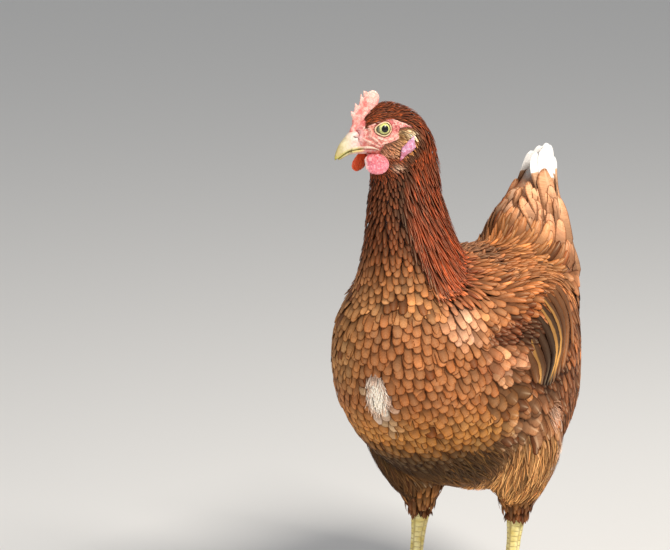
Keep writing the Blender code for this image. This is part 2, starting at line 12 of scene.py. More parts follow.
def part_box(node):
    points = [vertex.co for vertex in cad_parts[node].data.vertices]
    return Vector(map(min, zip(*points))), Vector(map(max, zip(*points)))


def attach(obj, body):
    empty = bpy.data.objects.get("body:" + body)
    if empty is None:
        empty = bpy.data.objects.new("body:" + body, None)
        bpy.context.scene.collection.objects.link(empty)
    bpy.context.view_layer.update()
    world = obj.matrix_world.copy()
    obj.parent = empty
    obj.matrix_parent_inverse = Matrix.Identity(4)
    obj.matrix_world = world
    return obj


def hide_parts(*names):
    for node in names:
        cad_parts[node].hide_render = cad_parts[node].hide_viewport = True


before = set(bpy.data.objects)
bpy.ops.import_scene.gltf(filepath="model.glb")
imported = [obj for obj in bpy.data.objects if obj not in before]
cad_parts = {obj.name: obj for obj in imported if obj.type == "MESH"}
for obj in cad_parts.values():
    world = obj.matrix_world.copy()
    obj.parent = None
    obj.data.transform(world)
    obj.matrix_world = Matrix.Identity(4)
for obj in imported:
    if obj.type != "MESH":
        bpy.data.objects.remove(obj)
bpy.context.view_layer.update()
bpy.ops.object.select_all(action="DESELECT")
dice = np.random.default_rng(41)
mm = 0.001

# camera
cameraSet = {
    "azimuth": 35.0,
    "elevation": 12.0,
    "distance": 2.5,
    "lens": 161.194,
    "sensor": 36,
    "farthest": 100,
    "aim": (-0.1251, -0.0069, 0.2812),
}

turn = math.radians(cameraSet["azimuth"])
tilt = math.radians(cameraSet["elevation"])
back = Vector((math.sin(turn) * math.cos(tilt), -math.cos(turn) * math.cos(tilt), math.sin(tilt)))
bpy.ops.object.camera_add(location=Vector(cameraSet["aim"]) + back * cameraSet["distance"])
camera = bpy.context.object
camera.name = "camera"
camera.rotation_euler = back.to_track_quat("Z", "Y").to_euler()
camera.data.lens = cameraSet["lens"]
camera.data.sensor_width = cameraSet["sensor"]
camera.data.clip_end = cameraSet["farthest"]
bpy.context.scene.camera = camera
bpy.context.scene.view_settings.view_transform = "Standard"


# places on the hen
bodySet = {
    "headZero": (0.3, 0.5),  # back and down from between the eyes, millimetres
    "hockAhead": 11 * mm,  # axis of the shank ahead of its hindmost point at the top
    "hockToFoot": 18 * mm,
    "footHeight": 8 * mm,
    "toeHeight": 6 * mm,
}
sides = ((1, "left"), (-1, "right"))


def middleOf(node):
    low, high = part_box(node)
    return (Vector(low) + Vector(high)) / 2


leftEye, rightEye = middleOf("eye_left"), middleOf("eye_right")
leftWay = (leftEye - rightEye).normalized()
aheadWay = Vector((leftWay.y, -leftWay.x, 0)).normalized()
zeroBack, zeroDown = bodySet["headZero"]
headPlace = (leftEye + rightEye) / 2 - aheadWay * zeroBack * mm - Vector((0, 0, zeroDown * mm))
headMatrix = Matrix.Translation(headPlace) @ Matrix(
    (
        (leftWay.x, aheadWay.x, 0, 0),
        (leftWay.y, aheadWay.y, 0, 0),
        (0, 0, 1, 0),
        (0, 0, 0, 1),
    )
)


def headPoint(ahead, above, left):  # from millimetres on the head
    return headMatrix @ Vector((left * mm, ahead * mm, above * mm))


def toHead(points):  # to millimetres on the head: ahead, above and to the left
    away = points - np.array(headPlace)
    ahead = away @ np.array(aheadWay) / mm
    left = away @ np.array(leftWay) / mm
    return ahead, away[:, 2] / mm, left


def hockOf(side):  # top of the shank's axis, and half the shank's width
    low, high = (Vector(v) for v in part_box("shank_" + side))
    return Vector(((low.x + high.x) / 2, high.y - bodySet["hockAhead"], high.z)), (high.x - low.x) / 2


def soft(low, high, value):  # 0 below low, 1 above high, smooth between
    t = np.clip((value - low) / (high - low), 0, 1)
    return t * t * (3 - 2 * t)


def along(value, *stops):  # straight lines between (value, result) stops
    return np.interp(value, [s[0] for s in stops], [s[1] for s in stops])


def paint(red, green, blue):  # screen colour to linear
    return np.array(
        [((c / 255 + 0.055) / 1.055) ** 2.4 if c > 10 else c / 255 / 12.92 for c in (red, green, blue)]
    )


def paintAlong(value, *stops):
    colours = np.array([paint(*s[1]) for s in stops])
    places = [s[0] for s in stops]
    return np.stack([np.interp(value, places, colours[:, i]) for i in range(3)], axis=1)


def mixed(a, b, share):
    share = np.asarray(share)[:, None] if np.ndim(share) else share
    return a * (1 - share) + b * share


def tinted(tone, colour, share):  # a share of a screen colour laid over a tone
    return mixed(tone, paint(*colour), share)


def bell(value, middle, width):  # 1 at the middle, fading to both sides
    return np.exp(-((value - middle) / width) ** 2)


def blob(a, b, place, reach):  # the same in two directions
    return np.exp(-((a - place[0]) / reach[0]) ** 2 - ((b - place[1]) / reach[1]) ** 2)


def pushed(way, far):  # steps of different length in one direction
    return np.array(way) * far[:, None]


def ripple(points, scale, seed=0.0):  # smooth noise, about -1 to 1
    return np.array([noise.noise(Vector(p) * scale + Vector((seed, 0, 0))) for p in points])


def rowsThrough(keys, steps):  # smooth rows through key rows
    keys = np.array(keys, dtype=float)
    places = np.linspace(0, len(keys) - 1, (len(keys) - 1) * steps + 1)
    spans = np.minimum(places.astype(int), len(keys) - 2)
    t = (places - spans)[:, None]
    before, after = np.maximum(spans - 1, 0), np.minimum(spans + 2, len(keys) - 1)
    p0, p1, p2, p3 = keys[before], keys[spans], keys[spans + 1], keys[after]
    return 0.5 * (
        2 * p1 + (p2 - p0) * t + (2 * p0 - 5 * p1 + 4 * p2 - p3) * t ** 2 + (3 * p1 - p0 - 3 * p2 + p3) * t ** 3
    )


def roundTurn(steps):  # evenly spaced angles
    return [2 * math.pi * i / steps for i in range(steps)]


# making and reading meshes
def objectOf(name, mesh):
    obj = bpy.data.objects.new(name, mesh)
    bpy.context.scene.collection.objects.link(obj)
    return obj


def meshOf(name, verts, faces):
    mesh = bpy.data.meshes.new(name)
    mesh.from_pydata([tuple(v) for v in verts], [], faces)
    mesh.update()
    mesh.polygons.foreach_set("use_smooth", np.ones(len(mesh.polygons), dtype=bool))
    return objectOf(name, mesh)


def turnOutward(obj):  # doubles merged, faces outwards
    shape = bmesh.new()
    shape.from_mesh(obj.data)
    bmesh.ops.remove_doubles(shape, verts=shape.verts, dist=1e-6)
    bmesh.ops.recalc_face_normals(shape, faces=shape.faces)
    shape.to_mesh(obj.data)
    shape.free()


def loft(name, rings, closed=False):  # closed joins the last ring to the first
    rings = [list(map(Vector, ring)) for ring in rings]
    size, rows = len(rings[0]), len(rings)
    verts = [point for ring in rings for point in ring]
    faces = []
    for r in range(rows if closed else rows - 1):
        for c in range(size):
            a, b = r * size, (r + 1) % rows * size
            faces.append((a + c, a + (c + 1) % size, b + (c + 1) % size, b + c))
    if not closed:
        faces.append(tuple(reversed(range(size))))
        faces.append(tuple((rows - 1) * size + i for i in range(size)))
    obj = meshOf(name, verts, faces)
    turnOutward(obj)
    return obj


def joinedInto(obj, *others):
    bpy.ops.object.select_all(action="DESELECT")
    for other in others:
        other.select_set(True)
    obj.select_set(True)
    bpy.context.view_layer.objects.active = obj
    bpy.ops.object.join()
    return obj


def copyOf(nodes, name, grow=0.0):  # merged copy of solids, each grown outwards
    whole = bmesh.new()
    for node in nodes:
        part = bmesh.new()
        part.from_mesh(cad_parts[node].data)
        bmesh.ops.remove_doubles(part, verts=part.verts, dist=1e-6)
        part.normal_update()
        for vert in part.verts:
            vert.co += vert.normal * grow
        step = bpy.data.meshes.new("step")
        part.to_mesh(step)
        part.free()
        whole.from_mesh(step)
        bpy.data.meshes.remove(step)
    mesh = bpy.data.meshes.new(name)
    whole.to_mesh(mesh)
    whole.free()
    return objectOf(name, mesh)


def applied(obj, kind, **settings):
    bpy.ops.object.select_all(action="DESELECT")
    bpy.context.view_layer.objects.active = obj
    obj.select_set(True)
    modifier = obj.modifiers.new(kind.lower(), kind)
    for key, value in settings.items():
        setattr(modifier, key, value)
    bpy.ops.object.modifier_apply(modifier=modifier.name)


def remeshed(node, name, grain, smoothing):  # copy of a solid in even, softened faces
    obj = copyOf([node], name)
    applied(obj, "REMESH", mode="VOXEL", voxel_size=grain, use_smooth_shade=True)
    applied(obj, "SMOOTH", factor=0.5, iterations=smoothing)
    return obj


def readOut(elements, name, size=1, kind=float):  # a value, or a row of them, from each element
    flat = np.empty(len(elements) * size, dtype=kind)
    elements.foreach_get(name, flat)
    return flat.reshape(-1, size) if size > 1 else flat


def placesOf(mesh):
    return readOut(mesh.vertices, "co", 3)


def normalsOf(mesh):
    return readOut(mesh.vertex_normals, "vector", 3)


def moveTo(mesh, places):
    mesh.vertices.foreach_set("co", places.ravel())
    mesh.update()


def unit(vectors):
    return vectors / np.maximum(np.linalg.norm(vectors, axis=-1, keepdims=True), 1e-12)


def smoothed(values, edges, rounds, share=0.5):  # each value moved towards its neighbours' mean
    count = len(values)
    degree = np.bincount(edges.ravel(), minlength=count)[:, None]
    for _ in range(rounds):
        total = np.zeros_like(values)
        for column in range(values.shape[1]):
            total[:, column] = np.bincount(edges[:, 0], values[edges[:, 1], column], count)
            total[:, column] += np.bincount(edges[:, 1], values[edges[:, 0], column], count)
        values = values * (1 - share) + total / np.maximum(degree, 1) * share
    return values


def setColours(mesh, name, colours):
    flat = np.ones((len(mesh.vertices), 4))
    flat[:, : colours.shape[1]] = colours
    layer = mesh.color_attributes.new(name, "FLOAT_COLOR", "POINT")
    layer.data.foreach_set("color", flat.ravel())


# skin
skinSet = {
    "nodes": (
        "head", "neck", "breast", "trunk", "tail", "wing_left", "wing_right", "thigh_left", "thigh_right",
    ),
    "grow": 0.3 * mm,  # closes the gaps between the solids
    "grain": 2.6 * mm,  # size of the body's faces
    "smoothing": 5,
    "finer": (38, 30, 17),  # faces this near the eyes are halved, once for each reach
    "headReach": 45 * mm,
    "oneSide": 20,  # a finer patch below this reach leaves out the midline
    "overlap": 8,  # rounds that soften the borders between regions
}

skin = copyOf(skinSet["nodes"], "skin", skinSet["grow"])
applied(skin, "REMESH", mode="VOXEL", voxel_size=skinSet["grain"], use_smooth_shade=True)
applied(skin, "SMOOTH", factor=0.5, iterations=skinSet["smoothing"])

shape = bmesh.new()
shape.from_mesh(skin.data)
for reach in skinSet["finer"]:
    near = set()
    for face in shape.faces:
        place = headMatrix.inverted() @ face.calc_center_median()
        ahead, above = place.y / mm, place.z / mm
        offMiddle = abs(place.x) > 3 * mm * (reach < skinSet["oneSide"])
        if min(ahead, above) > -reach and Vector((ahead, above + 4)).length < reach and offMiddle:
            near.update(face.edges)
    bmesh.ops.subdivide_edges(shape, edges=list(near), cuts=1, use_grid_fill=True, smooth=0.2)
    bmesh.ops.smooth_vert(
        shape,
        verts=[v for v in shape.verts if (v.co - headPlace).length < skinSet["headReach"]],
        factor=0.4, use_axis_x=True, use_axis_y=True, use_axis_z=True,
    )
shape.to_mesh(skin.data)
shape.free()
print("skin", len(skin.data.polygons), "faces")

# which solid each point of the skin came from, softened across the borders
allVerts, allFaces, faceNode = [], [], []
for number, node in enumerate(skinSet["nodes"]):
    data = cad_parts[node].data
    start = len(allVerts)
    allVerts += [v.co.copy() for v in data.vertices]
    for face in data.polygons:
        allFaces.append([start + i for i in face.vertices])
        faceNode.append(number)
flesh = BVHTree.FromPolygons(allVerts, allFaces)
places = placesOf(skin.data)
edges = readOut(skin.data.edges, "vertices", 2, np.int32)
share = np.zeros((len(places), len(skinSet["nodes"])))
for i, place in enumerate(places):
    share[i, faceNode[flesh.find_nearest(Vector(place))[2]]] = 1
share = smoothed(share, edges, skinSet["overlap"])
part = {node: share[:, i] for i, node in enumerate(skinSet["nodes"])}
part["wing"] = part["wing_left"] + part["wing_right"]
part["thigh"] = part["thigh_left"] + part["thigh_right"]
normals = unit(smoothed(normalsOf(skin.data), edges, 4))
print("regions done")


# how the plumage lies
faceSet = {
    # outline of the naked skin, ahead of and above the eyes in millimetres
    "bare": (
        (27, 14), (13.5, 14), (12.5, 8), (15.0, 0.8), (12.2, 3.9), (7.2, 6.5), (0, 8.8), (-8.2, 8.0),
        (-11.3, 6.3), (-14.6, 5.1), (-21.3, 3.0), (-24.4, -0.5), (-22.5, -0.2), (-17, 1.6), (-11.5, 1.0),
        (-10.2, -2.5), (-10.4, -7.6), (-5, -10.0), (0.2, -11.6), (2.4, -15.8), (3.0, -20.5), (12, -22.5),
        (27, -22),
    ),
    "tuft": (-16.5, -5.2, 6.6, 6.2),  # feather patch over the ear: place and reach
    "pupil": (0.3, 0.5),
    "ballDepth": 10.0,  # middle of the eyeball from the midline
    "ball": 6.5,  # its radius
    # reach of the opening ahead, behind and up or down, and the front corner beyond it
    "lidSize": (5.1, 4.6, 4.7, 2.0),
    "lidWidth": 1.3,
    "lidThickness": 0.45,
    "lidLevel": (13.9, 5.2, 0.5),  # out from the midline, at which reach, and how fast it falls
    # wrinkles: (ahead, above) along each
    "folds": (
        ((-7.8, 5.3), (-9.8, 0.4), (-8.5, -4.4), (-5.2, -7.5)),
        ((-11.1, 4.1), (-12.4, -0.8), (-10.4, -5.6), (-5.9, -9.9)),
        ((7.2, -5.0), (2.0, -8.1), (-3.2, -8.1), (-7.2, -6.3)),
        ((2.6, -11.6), (1.3, -10.8), (-3.9, -10.6), (-9.1, -9.4), (-10.4, -8.6)),
        ((11.2, -5.0), (5.9, -9.3), (2.7, -13.0)),
        ((15.1, -7.5), (9.9, -10.5), (4.6, -13.4)),
        ((9.8, 3.9), (4.6, 7.0), (-2.0, 7.9), (-9.0, 6.6), (-12.4, 5.0)),
        ((12.5, 2.0), (11.2, -0.8), (11.8, -5.0)),
        ((15.1, 2.2), (14.5, -2.0), (16.4, -6.9)),
        ((-14.0, 4.2), (-18.0, 3.4), (-22.0, 1.6)),
    ),
    "foldWidth": 0.75,
    "foldHeight": 0.5,
    # (ahead, above) along the cleft
    "mouth": ((3.8, -15.9), (10, -14.8), (15, -14.5), (20, -15.1), (25, -15.5)),
    "lidSteps": 80,
    "lidSides": 12,
    "lidTone": (228, 206, 164),
}
# markings: place, reach, colour, strength, size of the feathers, ruffling, and whether both sides bear it
marks = (
    ((7, -138, 230), (8, 16, 14), (255, 250, 236), 0.95, 0.9, 0.3, False),
    ((-3, -138, 242), (4, 12, 8), (240, 212, 168), 0.7, 0.9, 0.3, False),
    ((13, -136, 210), (5, 16, 8), (236, 206, 164), 0.6, 0.9, 0.3, False),
    ((76, 15, 190), (7, 6, 5), (248, 222, 202), 0.75, 0.9, 0.4, True),
    ((72, 31, 160), (6, 4, 6), (250, 236, 220), 0.85, 0.9, 0.4, True),
    ((64, 48, 200), (7, 6, 8), (255, 248, 240), 0.9, 0.9, 0.4, True),
    ((74, 22, 278), (10, 6, 5), (244, 230, 216), 0.9, 1.0, 0.2, True),
    ((80, -46, 252), (8, 5, 4), (240, 216, 196), 0.7, 1.0, 0.4, True),
    ((73, -64, 272), (18, 24, 11), (98, 40, 17), 0.9, 0.62, 0.1, True),
    ((80, -36, 266), (14, 20, 12), (72, 32, 13), 0.9, 0.66, 0.15, True),
    ((76, -58, 249), (12, 18, 8), (200, 134, 96), 0.8, 1.1, 0.4, True),
    ((68, -84, 256), (10, 9, 9), (180, 98, 54), 0.7, 1.1, 0.1, True),
    ((80, -2, 240), (14, 26, 32), (92, 50, 22), 0.9, 1.0, 0.2, True),
    ((74, -62, 223), (14, 26, 11), (142, 94, 54), 0.75, 1.4, 0.1, True),
    ((75, -52, 228), (8, 7, 4), (84, 46, 26), 0.8, 1.5, 0.1, True),
    ((54, -96, 290), (16, 14, 14), (244, 182, 142), 0.8, 1.0, 0.1, True),
    ((0, -26, 320), (42, 26, 15), (130, 84, 56), 0.85, 0.75, 0.9, False),
    ((75, -16, 200), (14, 34, 16), (158, 104, 68), 0.75, 1.45, 0.4, True),
    ((60, 40, 205), (30, 24, 44), (134, 76, 40), 0.85, 1.0, 0.5, True),
)


def insideOutline(outline, a, b):
    inside = np.zeros(len(a), dtype=bool)
    for (a0, b0), (a1, b1) in zip(outline, outline[1:] + outline[:1]):
        if b0 == b1:
            continue
        crossing = ((b0 > b) != (b1 > b)) & (a < (a1 - a0) * (b - b0) / (b1 - b0) + a0)
        inside ^= crossing
    return inside


def bareFace(ahead, above, left):  # 1 on the naked skin of the face, which leaves out the midline
    offMiddle = np.abs(left) + np.maximum(0, 4 - above) + np.maximum(0, ahead - 13) * 4 > 4
    return (insideOutline(faceSet["bare"], ahead, above) & offMiddle).astype(float)


def lidReach(angle):  # from the pupil to the rim of the lids
    front, behind, tall, corner = faceSet["lidSize"]
    wide = np.where(np.cos(angle) > 0, front, behind)
    reach = wide * tall / np.sqrt((tall * np.cos(angle)) ** 2 + (wide * np.sin(angle)) ** 2)
    return reach + corner * np.maximum(0, np.cos(angle)) ** 6


def lidLevel(reach):  # how far out from the midline the rim of the lids lies
    out, at, fall = faceSet["lidLevel"]
    return out - fall * (reach - at)


def plumage(places, normals, part):
    x, y, z = places.T
    side = np.sign(x)
    ahead, above, left = toHead(places)
    bare = smoothed(bareFace(ahead, above, left)[:, None], edges, 3)[:, 0] * soft(0.2, 0.6, part["head"])
    level = z / mm  # over the floor
    rear = y / mm  # towards the tail

    # the cape of hackles: degrees round the neck from its front, and where the cape starts and ends
    acrossNeck = x / mm - along(level, (317, 0), (346, -1), (392, -3))
    alongNeck = rear - along(level, (262, -74), (317, -79), (346, -84), (392, -86.5))
    facing = along(level, (317, 4), (346, 10), (373, 20), (392, 30))
    angle = np.degrees(np.arctan2(acrossNeck, -alongNeck)) + facing
    roundNeck = np.abs((angle + 180) % 360 - 180)
    capeEdge = along(level, (297, 66), (312, 60), (335, 57), (355, 51), (370, 49), (385, 58), (401, 72))
    capeEnd = along(roundNeck, (60, 296), (81, 300), (97, 305), (119, 318), (150, 326))
    inCape = soft(-7, 5, roundNeck - capeEdge)
    lowNeck = part["neck"] * soft(5, -3, level - capeEnd)
    behind = soft(75, 105, roundNeck)
    cape = (part["neck"] - lowNeck) * inCape
    throat = (part["neck"] - lowNeck) * (1 - inCape)
    breastPart = part["breast"] + lowNeck * (1 - behind)
    trunkPart = part["trunk"] + lowNeck * behind

    # direction that the vanes point
    def way(backward, out, up):
        return np.stack([side * out, backward * np.ones_like(x), up * np.ones_like(x)], axis=1)

    nape = soft(-8, -36, ahead)
    sinking = 0.15 + 0.9 * nape + 0.5 * soft(2, -16, above)
    headWay = pushed(-aheadWay, 1 - 0.75 * nape) + pushed((0, 0, -1.0), sinking)
    neckWay = way(along(level, (290, 0.5), (340, 0.28), (400, 0.12)) * soft(30, 100, roundNeck), 0.10, -1.0)
    breastWay = way(along(level, (150, 1.2), (200, 0.75), (250, 0.42), (300, 0.2)), 0.0, -0.9)
    top = soft(0.2, 0.75, normals[:, 2])
    low = soft(-0.1, -0.7, normals[:, 2])
    rump = soft(60, 110, rear) * (1 - top)
    droop = 1.3 * rump * (1 - low)
    trunkWay = way(1.0, 0.0, -0.45 + 0.35 * top - droop - 0.9 * soft(225, 190, level) * soft(-40, 0, rear))
    wingDroop = along(rear, (-90, -0.5), (-20, -0.3), (40, -0.7), (100, -1.2)) - 0.5 * soft(240, 205, level)
    wingWay = way(along(rear, (-90, 0.75), (0, 0.95), (60, 0.6), (100, 0.35)), 0.0, wingDroop)
    tailRise = 1.0 - 0.5 * soft(320, 280, level) - 1.3 * soft(100, 125, rear) * soft(345, 320, level)
    tailWay = way(0.35 + 0.5 * soft(330, 285, level), 0, tailRise)
    thighWay = way(
        along(level, (100, -0.25), (150, 0.05), (190, 0.45)), along(level, (100, -0.25), (140, 0.0)), -1.0,
    )

    # tones
    tuftAhead, tuftAbove, tuftLong, tuftTall = faceSet["tuft"]
    tuftPlace = np.hypot((ahead - tuftAhead) / tuftLong, (above - tuftAbove) / tuftTall)
    earEdge = along(above, (-24, -11), (-16, -18), (-8, -23), (0, -26))
    headTone = paintAlong(ahead, (-45, (122, 42, 10)), (-20, (122, 48, 16)), (10, (138, 58, 24)))
    cheekTone = paintAlong(ahead, (-20, (196, 140, 74)), (-12, (186, 136, 92)), (0, (214, 144, 112)))
    cheekShare = soft(-4, -10, above) * soft(-1.5, 1.5, ahead - earEdge) * soft(-23, -19, above)
    headTone = mixed(headTone, cheekTone, cheekShare)
    # painted shade on the feathers just behind the ear lobe
    shadeBehindLobe = soft(0, 2, earEdge - ahead) * soft(9, 6, earEdge - ahead) * soft(-4, -9, above) * 0.8
    headTone = tinted(headTone, (44, 20, 10), shadeBehindLobe)
    headTone = tinted(headTone, (250, 190, 124), soft(1.15, 0.85, tuftPlace))
    headTone = tinted(headTone, (255, 244, 206), blob(ahead, above, (-18.5, -3), (4.5, 3.2)))
    headTone = tinted(headTone, (246, 206, 176), blob(ahead, above, (-8, -29), (3.5, 2.6)) * 0.9)
    capeTone = paintAlong(
        level, (290, (180, 88, 42)), (325, (150, 58, 20)), (360, (138, 50, 15)), (400, (130, 44, 12)),
    )
    throatTone = paintAlong(
        level, (285, (214, 154, 96)), (320, (194, 126, 74)), (345, (132, 66, 30)), (400, (98, 38, 10)),
    )
    # painted shadow: a dark band along the front edge of the cape, laid over both the cape and the throat
    capeShadow = bell(roundNeck - capeEdge, -5, 8) * soft(300, 345, level)
    capeTone = tinted(capeTone, (46, 22, 10), capeShadow * 0.85)
    throatTone = tinted(throatTone, (46, 22, 10), capeShadow * 0.85)
    # below about 199 mm these tones hold painted shade under the belly, darkest from 158 to 174 mm
    breastTone = paintAlong(
        level, (110, (120, 76, 30)), (135, (126, 80, 34)), (158, (66, 40, 7)), (174, (76, 47, 12)),
        (199, (210, 142, 71)), (230, (188, 118, 68)), (270, (186, 118, 70)), (300, (190, 122, 74)),
    )
    breastTone = tinted(breastTone, (206, 150, 88), soft(10, -30, x / mm) * soft(220, 260, level) * 0.6)
    flankTone = paintAlong(rear, (-80, (186, 132, 88)), (20, (178, 118, 76)), (110, (170, 106, 64)))
    backTone = paintAlong(
        rear, (-80, (164, 94, 50)), (0, (172, 102, 54)), (50, (188, 118, 64)), (100, (208, 138, 90)),
    )
    trunkTone = mixed(flankTone, backTone, top)
    # painted shade on the lower front of the trunk, under the belly
    trunkTone = tinted(trunkTone, (84, 52, 18), soft(188, 170, level) * soft(0, -40, rear) * 0.8)
    wingTone = paintAlong(
        rear, (-90, (238, 178, 130)), (-50, (186, 114, 68)), (0, (150, 84, 44)), (50, (160, 94, 50)),
        (100, (156, 92, 50)),
    )
    wingTone = tinted(wingTone, (178, 106, 56), soft(272, 292, level))
    tailTone = paintAlong(
        level, (260, (196, 124, 78)), (310, (238, 168, 122)), (350, (240, 182, 138)), (362, (240, 182, 138)),
        (368, (252, 248, 242)),
    )
    thighTone = paintAlong(level, (98, (116, 62, 32)), (112, (198, 138, 78)), (160, (220, 158, 96)))
    # painted shade on the right thigh, the side turned away from the light
    thighTone = tinted(thighTone, (68, 38, 12), soft(10, -10, x / mm) * 0.92)
    crown = soft(-6, -40, ahead)
    regions = (  # gap between roots, length and width in millimetres, pointedness of the tip, depth of the coat
        dict(
            share=part["head"], flow=headWay, tone=headTone, gap=along(crown, (0, 1.2), (1, 2.1)),
            length=along(crown, (0, 4.6), (1, 11)), width=along(crown, (0, 1.2), (1, 2.3)), point=0.6,
            depth=along(crown, (0, 0.8), (1, 2.6)),
        ),
        dict(
            share=cape, flow=neckWay, tone=capeTone, gap=along(level, (310, 2.3), (340, 2.1), (400, 1.8)),
            length=np.clip((level - capeEnd) / 0.93, 9, along(level, (310, 40), (350, 32), (400, 16))),
            width=along(level, (300, 3.6), (340, 2.9), (400, 2.2)), point=0.9, depth=5.0,
        ),
        dict(
            share=throat, flow=neckWay, tone=throatTone,
            gap=along(level, (285, 4.7), (325, 3.8), (350, 3.0), (400, 2.0)),
            length=along(level, (285, 18), (325, 14), (350, 11), (400, 7)),
            width=along(level, (285, 8.2), (325, 6.4), (350, 4.2), (400, 2.3)),
            point=along(level, (320, 0.1), (350, 0.5)), depth=4.0,
        ),
        dict(
            share=breastPart, flow=breastWay, tone=breastTone,
            gap=along(level, (120, 4.8), (200, 5.0), (300, 4.8)),
            length=along(level, (120, 24), (200, 18), (300, 20)),
            width=along(level, (120, 8.0), (200, 9.2), (300, 8.0)), point=0.02, depth=4.5,
        ),
        dict(
            share=trunkPart, flow=trunkWay, tone=trunkTone, gap=5.6 - 2.0 * top,
            length=24 + 12 * rump + 6 * top, width=9.2 - 4.2 * top, point=0.12 + 0.5 * top, depth=5.0,
        ),
        dict(
            share=part["wing"], flow=wingWay, tone=wingTone, gap=along(rear, (-90, 5.4), (0, 4.8), (60, 6.0)),
            length=along(rear, (-90, 20), (0, 22), (50, 38), (100, 48)),
            width=along(rear, (-90, 8.6), (0, 7.0), (60, 10.5)), point=along(rear, (-80, 0.05), (-50, 0.35)),
            depth=4.0,
        ),
        dict(
            share=part["tail"], flow=tailWay, tone=tailTone, gap=along(level, (270, 6.0), (320, 9.5)),
            length=along(level, (260, 28), (300, 34), (334, 28)), width=along(level, (270, 10), (320, 19)),
            point=0.2, depth=3.5,
        ),
        dict(
            share=part["thigh"], flow=thighWay, tone=thighTone, gap=5.0,
            length=along(level, (100, 13), (150, 24)), width=7.0, point=0.4, depth=5.0,
        ),
    )
    names = ("gap", "length", "width", "point", "depth")
    fields = {name: sum(region["share"] * region[name] for region in regions) for name in names}
    fields["flow"] = sum(region["share"][:, None] * region["flow"] for region in regions)
    tone = sum(region["share"][:, None] * region["tone"] for region in regions)

    # markings, with wavering borders
    waver = 1 + 0.22 * ripple(places, 90, 3)
    ruffle, white = np.zeros(len(x)), np.zeros(len(x))
    for place, reach, colour, strength, size, mess, both in marks:
        beside = np.abs(x) / mm - abs(place[0]) if both else x / mm - place[0]
        away = (beside, rear - place[1], level - place[2])
        far = np.sqrt(sum((a / r) ** 2 for a, r in zip(away, reach)))
        share = soft(1.25, 0.75, far * waver) * (1 - part["tail"]) * (1 - cape) * (1 - throat)
        tone = tinted(tone, colour, share * strength)
        for name in ("gap", "length", "width"):
            fields[name] = fields[name] * (1 + (size - 1) * share)
        ruffle = np.maximum(ruffle, share * mess)
        if min(colour) > 180:
            white = np.maximum(white, share)
    fields["depth"] = fields["depth"] * (1 - bare)
    fields["raise"] = 1.5 * part["head"] * soft(-30, -22, ahead) * soft(1, -4, ahead) * soft(3, 8, above)
    belly = soft(195, 160, level) * (part["trunk"] + part["breast"]) * soft(-110, -70, rear)
    fluff = np.maximum(part["thigh"], belly)
    fluff = np.maximum(fluff, soft(225, 200, level) * part["trunk"] * soft(20, 50, rear))
    wings = part["wing_left"], part["wing_right"]
    classes = np.stack(
        [part["head"], cape, throat, breastPart, trunkPart, part["tail"], *wings, part["thigh"]], axis=1,
    )
    fields.update(
        tone=tone, bare=bare, ruffle=np.maximum(ruffle, fluff * 0.15), white=white, fluff=fluff,
        classes=classes,
    )
    return fields


coat = plumage(places, normals, part)
flow = coat["flow"] - normals * np.sum(coat["flow"] * normals, axis=1)[:, None]
flow = unit(smoothed(unit(flow), edges, 12))

depthSet = {
    "thinnest": 0.3 * mm,  # a thinner coat leaves the skin where it is
    "bodyShare": 0.3,  # the coat takes no more than this of the body's thickness
    "start": 0.8 * mm,  # how far under the surface the thickness is measured from
    "rounds": 6,  # of smoothing
}

# the skin lies inside the solids by the coat's depth, less where the body is thin
outside = BVHTree.FromObject(skin, bpy.context.evaluated_depsgraph_get())
depth = coat["depth"] * mm
for i in np.nonzero(depth > depthSet["thinnest"])[0]:
    hit = outside.ray_cast(Vector(places[i] - normals[i] * depthSet["start"]), Vector(-normals[i]))
    if hit[0] is not None:
        depth[i] = min(depth[i], hit[3] * depthSet["bodyShare"])
depth = smoothed(depth[:, None], edges, depthSet["rounds"])[:, 0]
skinPlaces = places - normals * depth[:, None]
moveTo(skin.data, skinPlaces)
print("skin laid under the coat")


# face and lids
def nearFold(ahead, above, line):  # distance in millimetres to a line through the given points
    line = rowsThrough(line, 4)
    best = np.full(len(ahead), 99.0)
    for (a0, b0), (a1, b1) in zip(line, line[1:]):
        t = np.clip(
            ((ahead - a0) * (a1 - a0) + (above - b0) * (b1 - b0)) / ((a1 - a0) ** 2 + (b1 - b0) ** 2), 0, 1,
        )
        best = np.minimum(best, np.hypot(ahead - a0 - t * (a1 - a0), above - b0 - t * (b1 - b0)))
    return best


ahead, above, left = toHead(skinPlaces)
outwardness = np.abs(left)
pupilAhead, pupilAbove = faceSet["pupil"]
fromPupil = np.hypot(ahead - pupilAhead, above - pupilAbove)
angle = np.arctan2(above - pupilAbove, ahead - pupilAhead)
rim = lidReach(angle)
beyond = fromPupil - rim - faceSet["lidWidth"] / 2  # from the middle of the lid's edge
onFace = (outwardness > 3) & (fromPupil < 28) & (part["head"] > 0.3)
hold = soft(7.5, 0.4, beyond)
newOut = outwardness * (1 - hold) + (lidLevel(rim) - 0.3) * hold
wrinkle = np.zeros(len(skinPlaces))
for line in faceSet["folds"]:
    wrinkle = np.maximum(wrinkle, bell(nearFold(ahead, above, line), 0, faceSet["foldWidth"]))
wrinkle = wrinkle * soft(0.2, 0.9, beyond)
seat = bell(beyond, 0.95, 0.45)  # furrow round the lids
membrane = soft(4.3, 4.9, ahead - pupilAhead) * (beyond < 0)
ball = faceSet["ballDepth"] + np.sqrt(np.maximum(faceSet["ball"] ** 2 - fromPupil ** 2, 1.5))
newOut = np.where(beyond < -0.35, np.where(membrane > 0.3, ball - 0.1, 9.0), newOut)
mouth = along(ahead, *faceSet["mouth"])
groove = bell(above, mouth, 0.8) * soft(2.0, 5.0, ahead)
fine, coarse = np.zeros(len(skinPlaces)), np.zeros(len(skinPlaces))
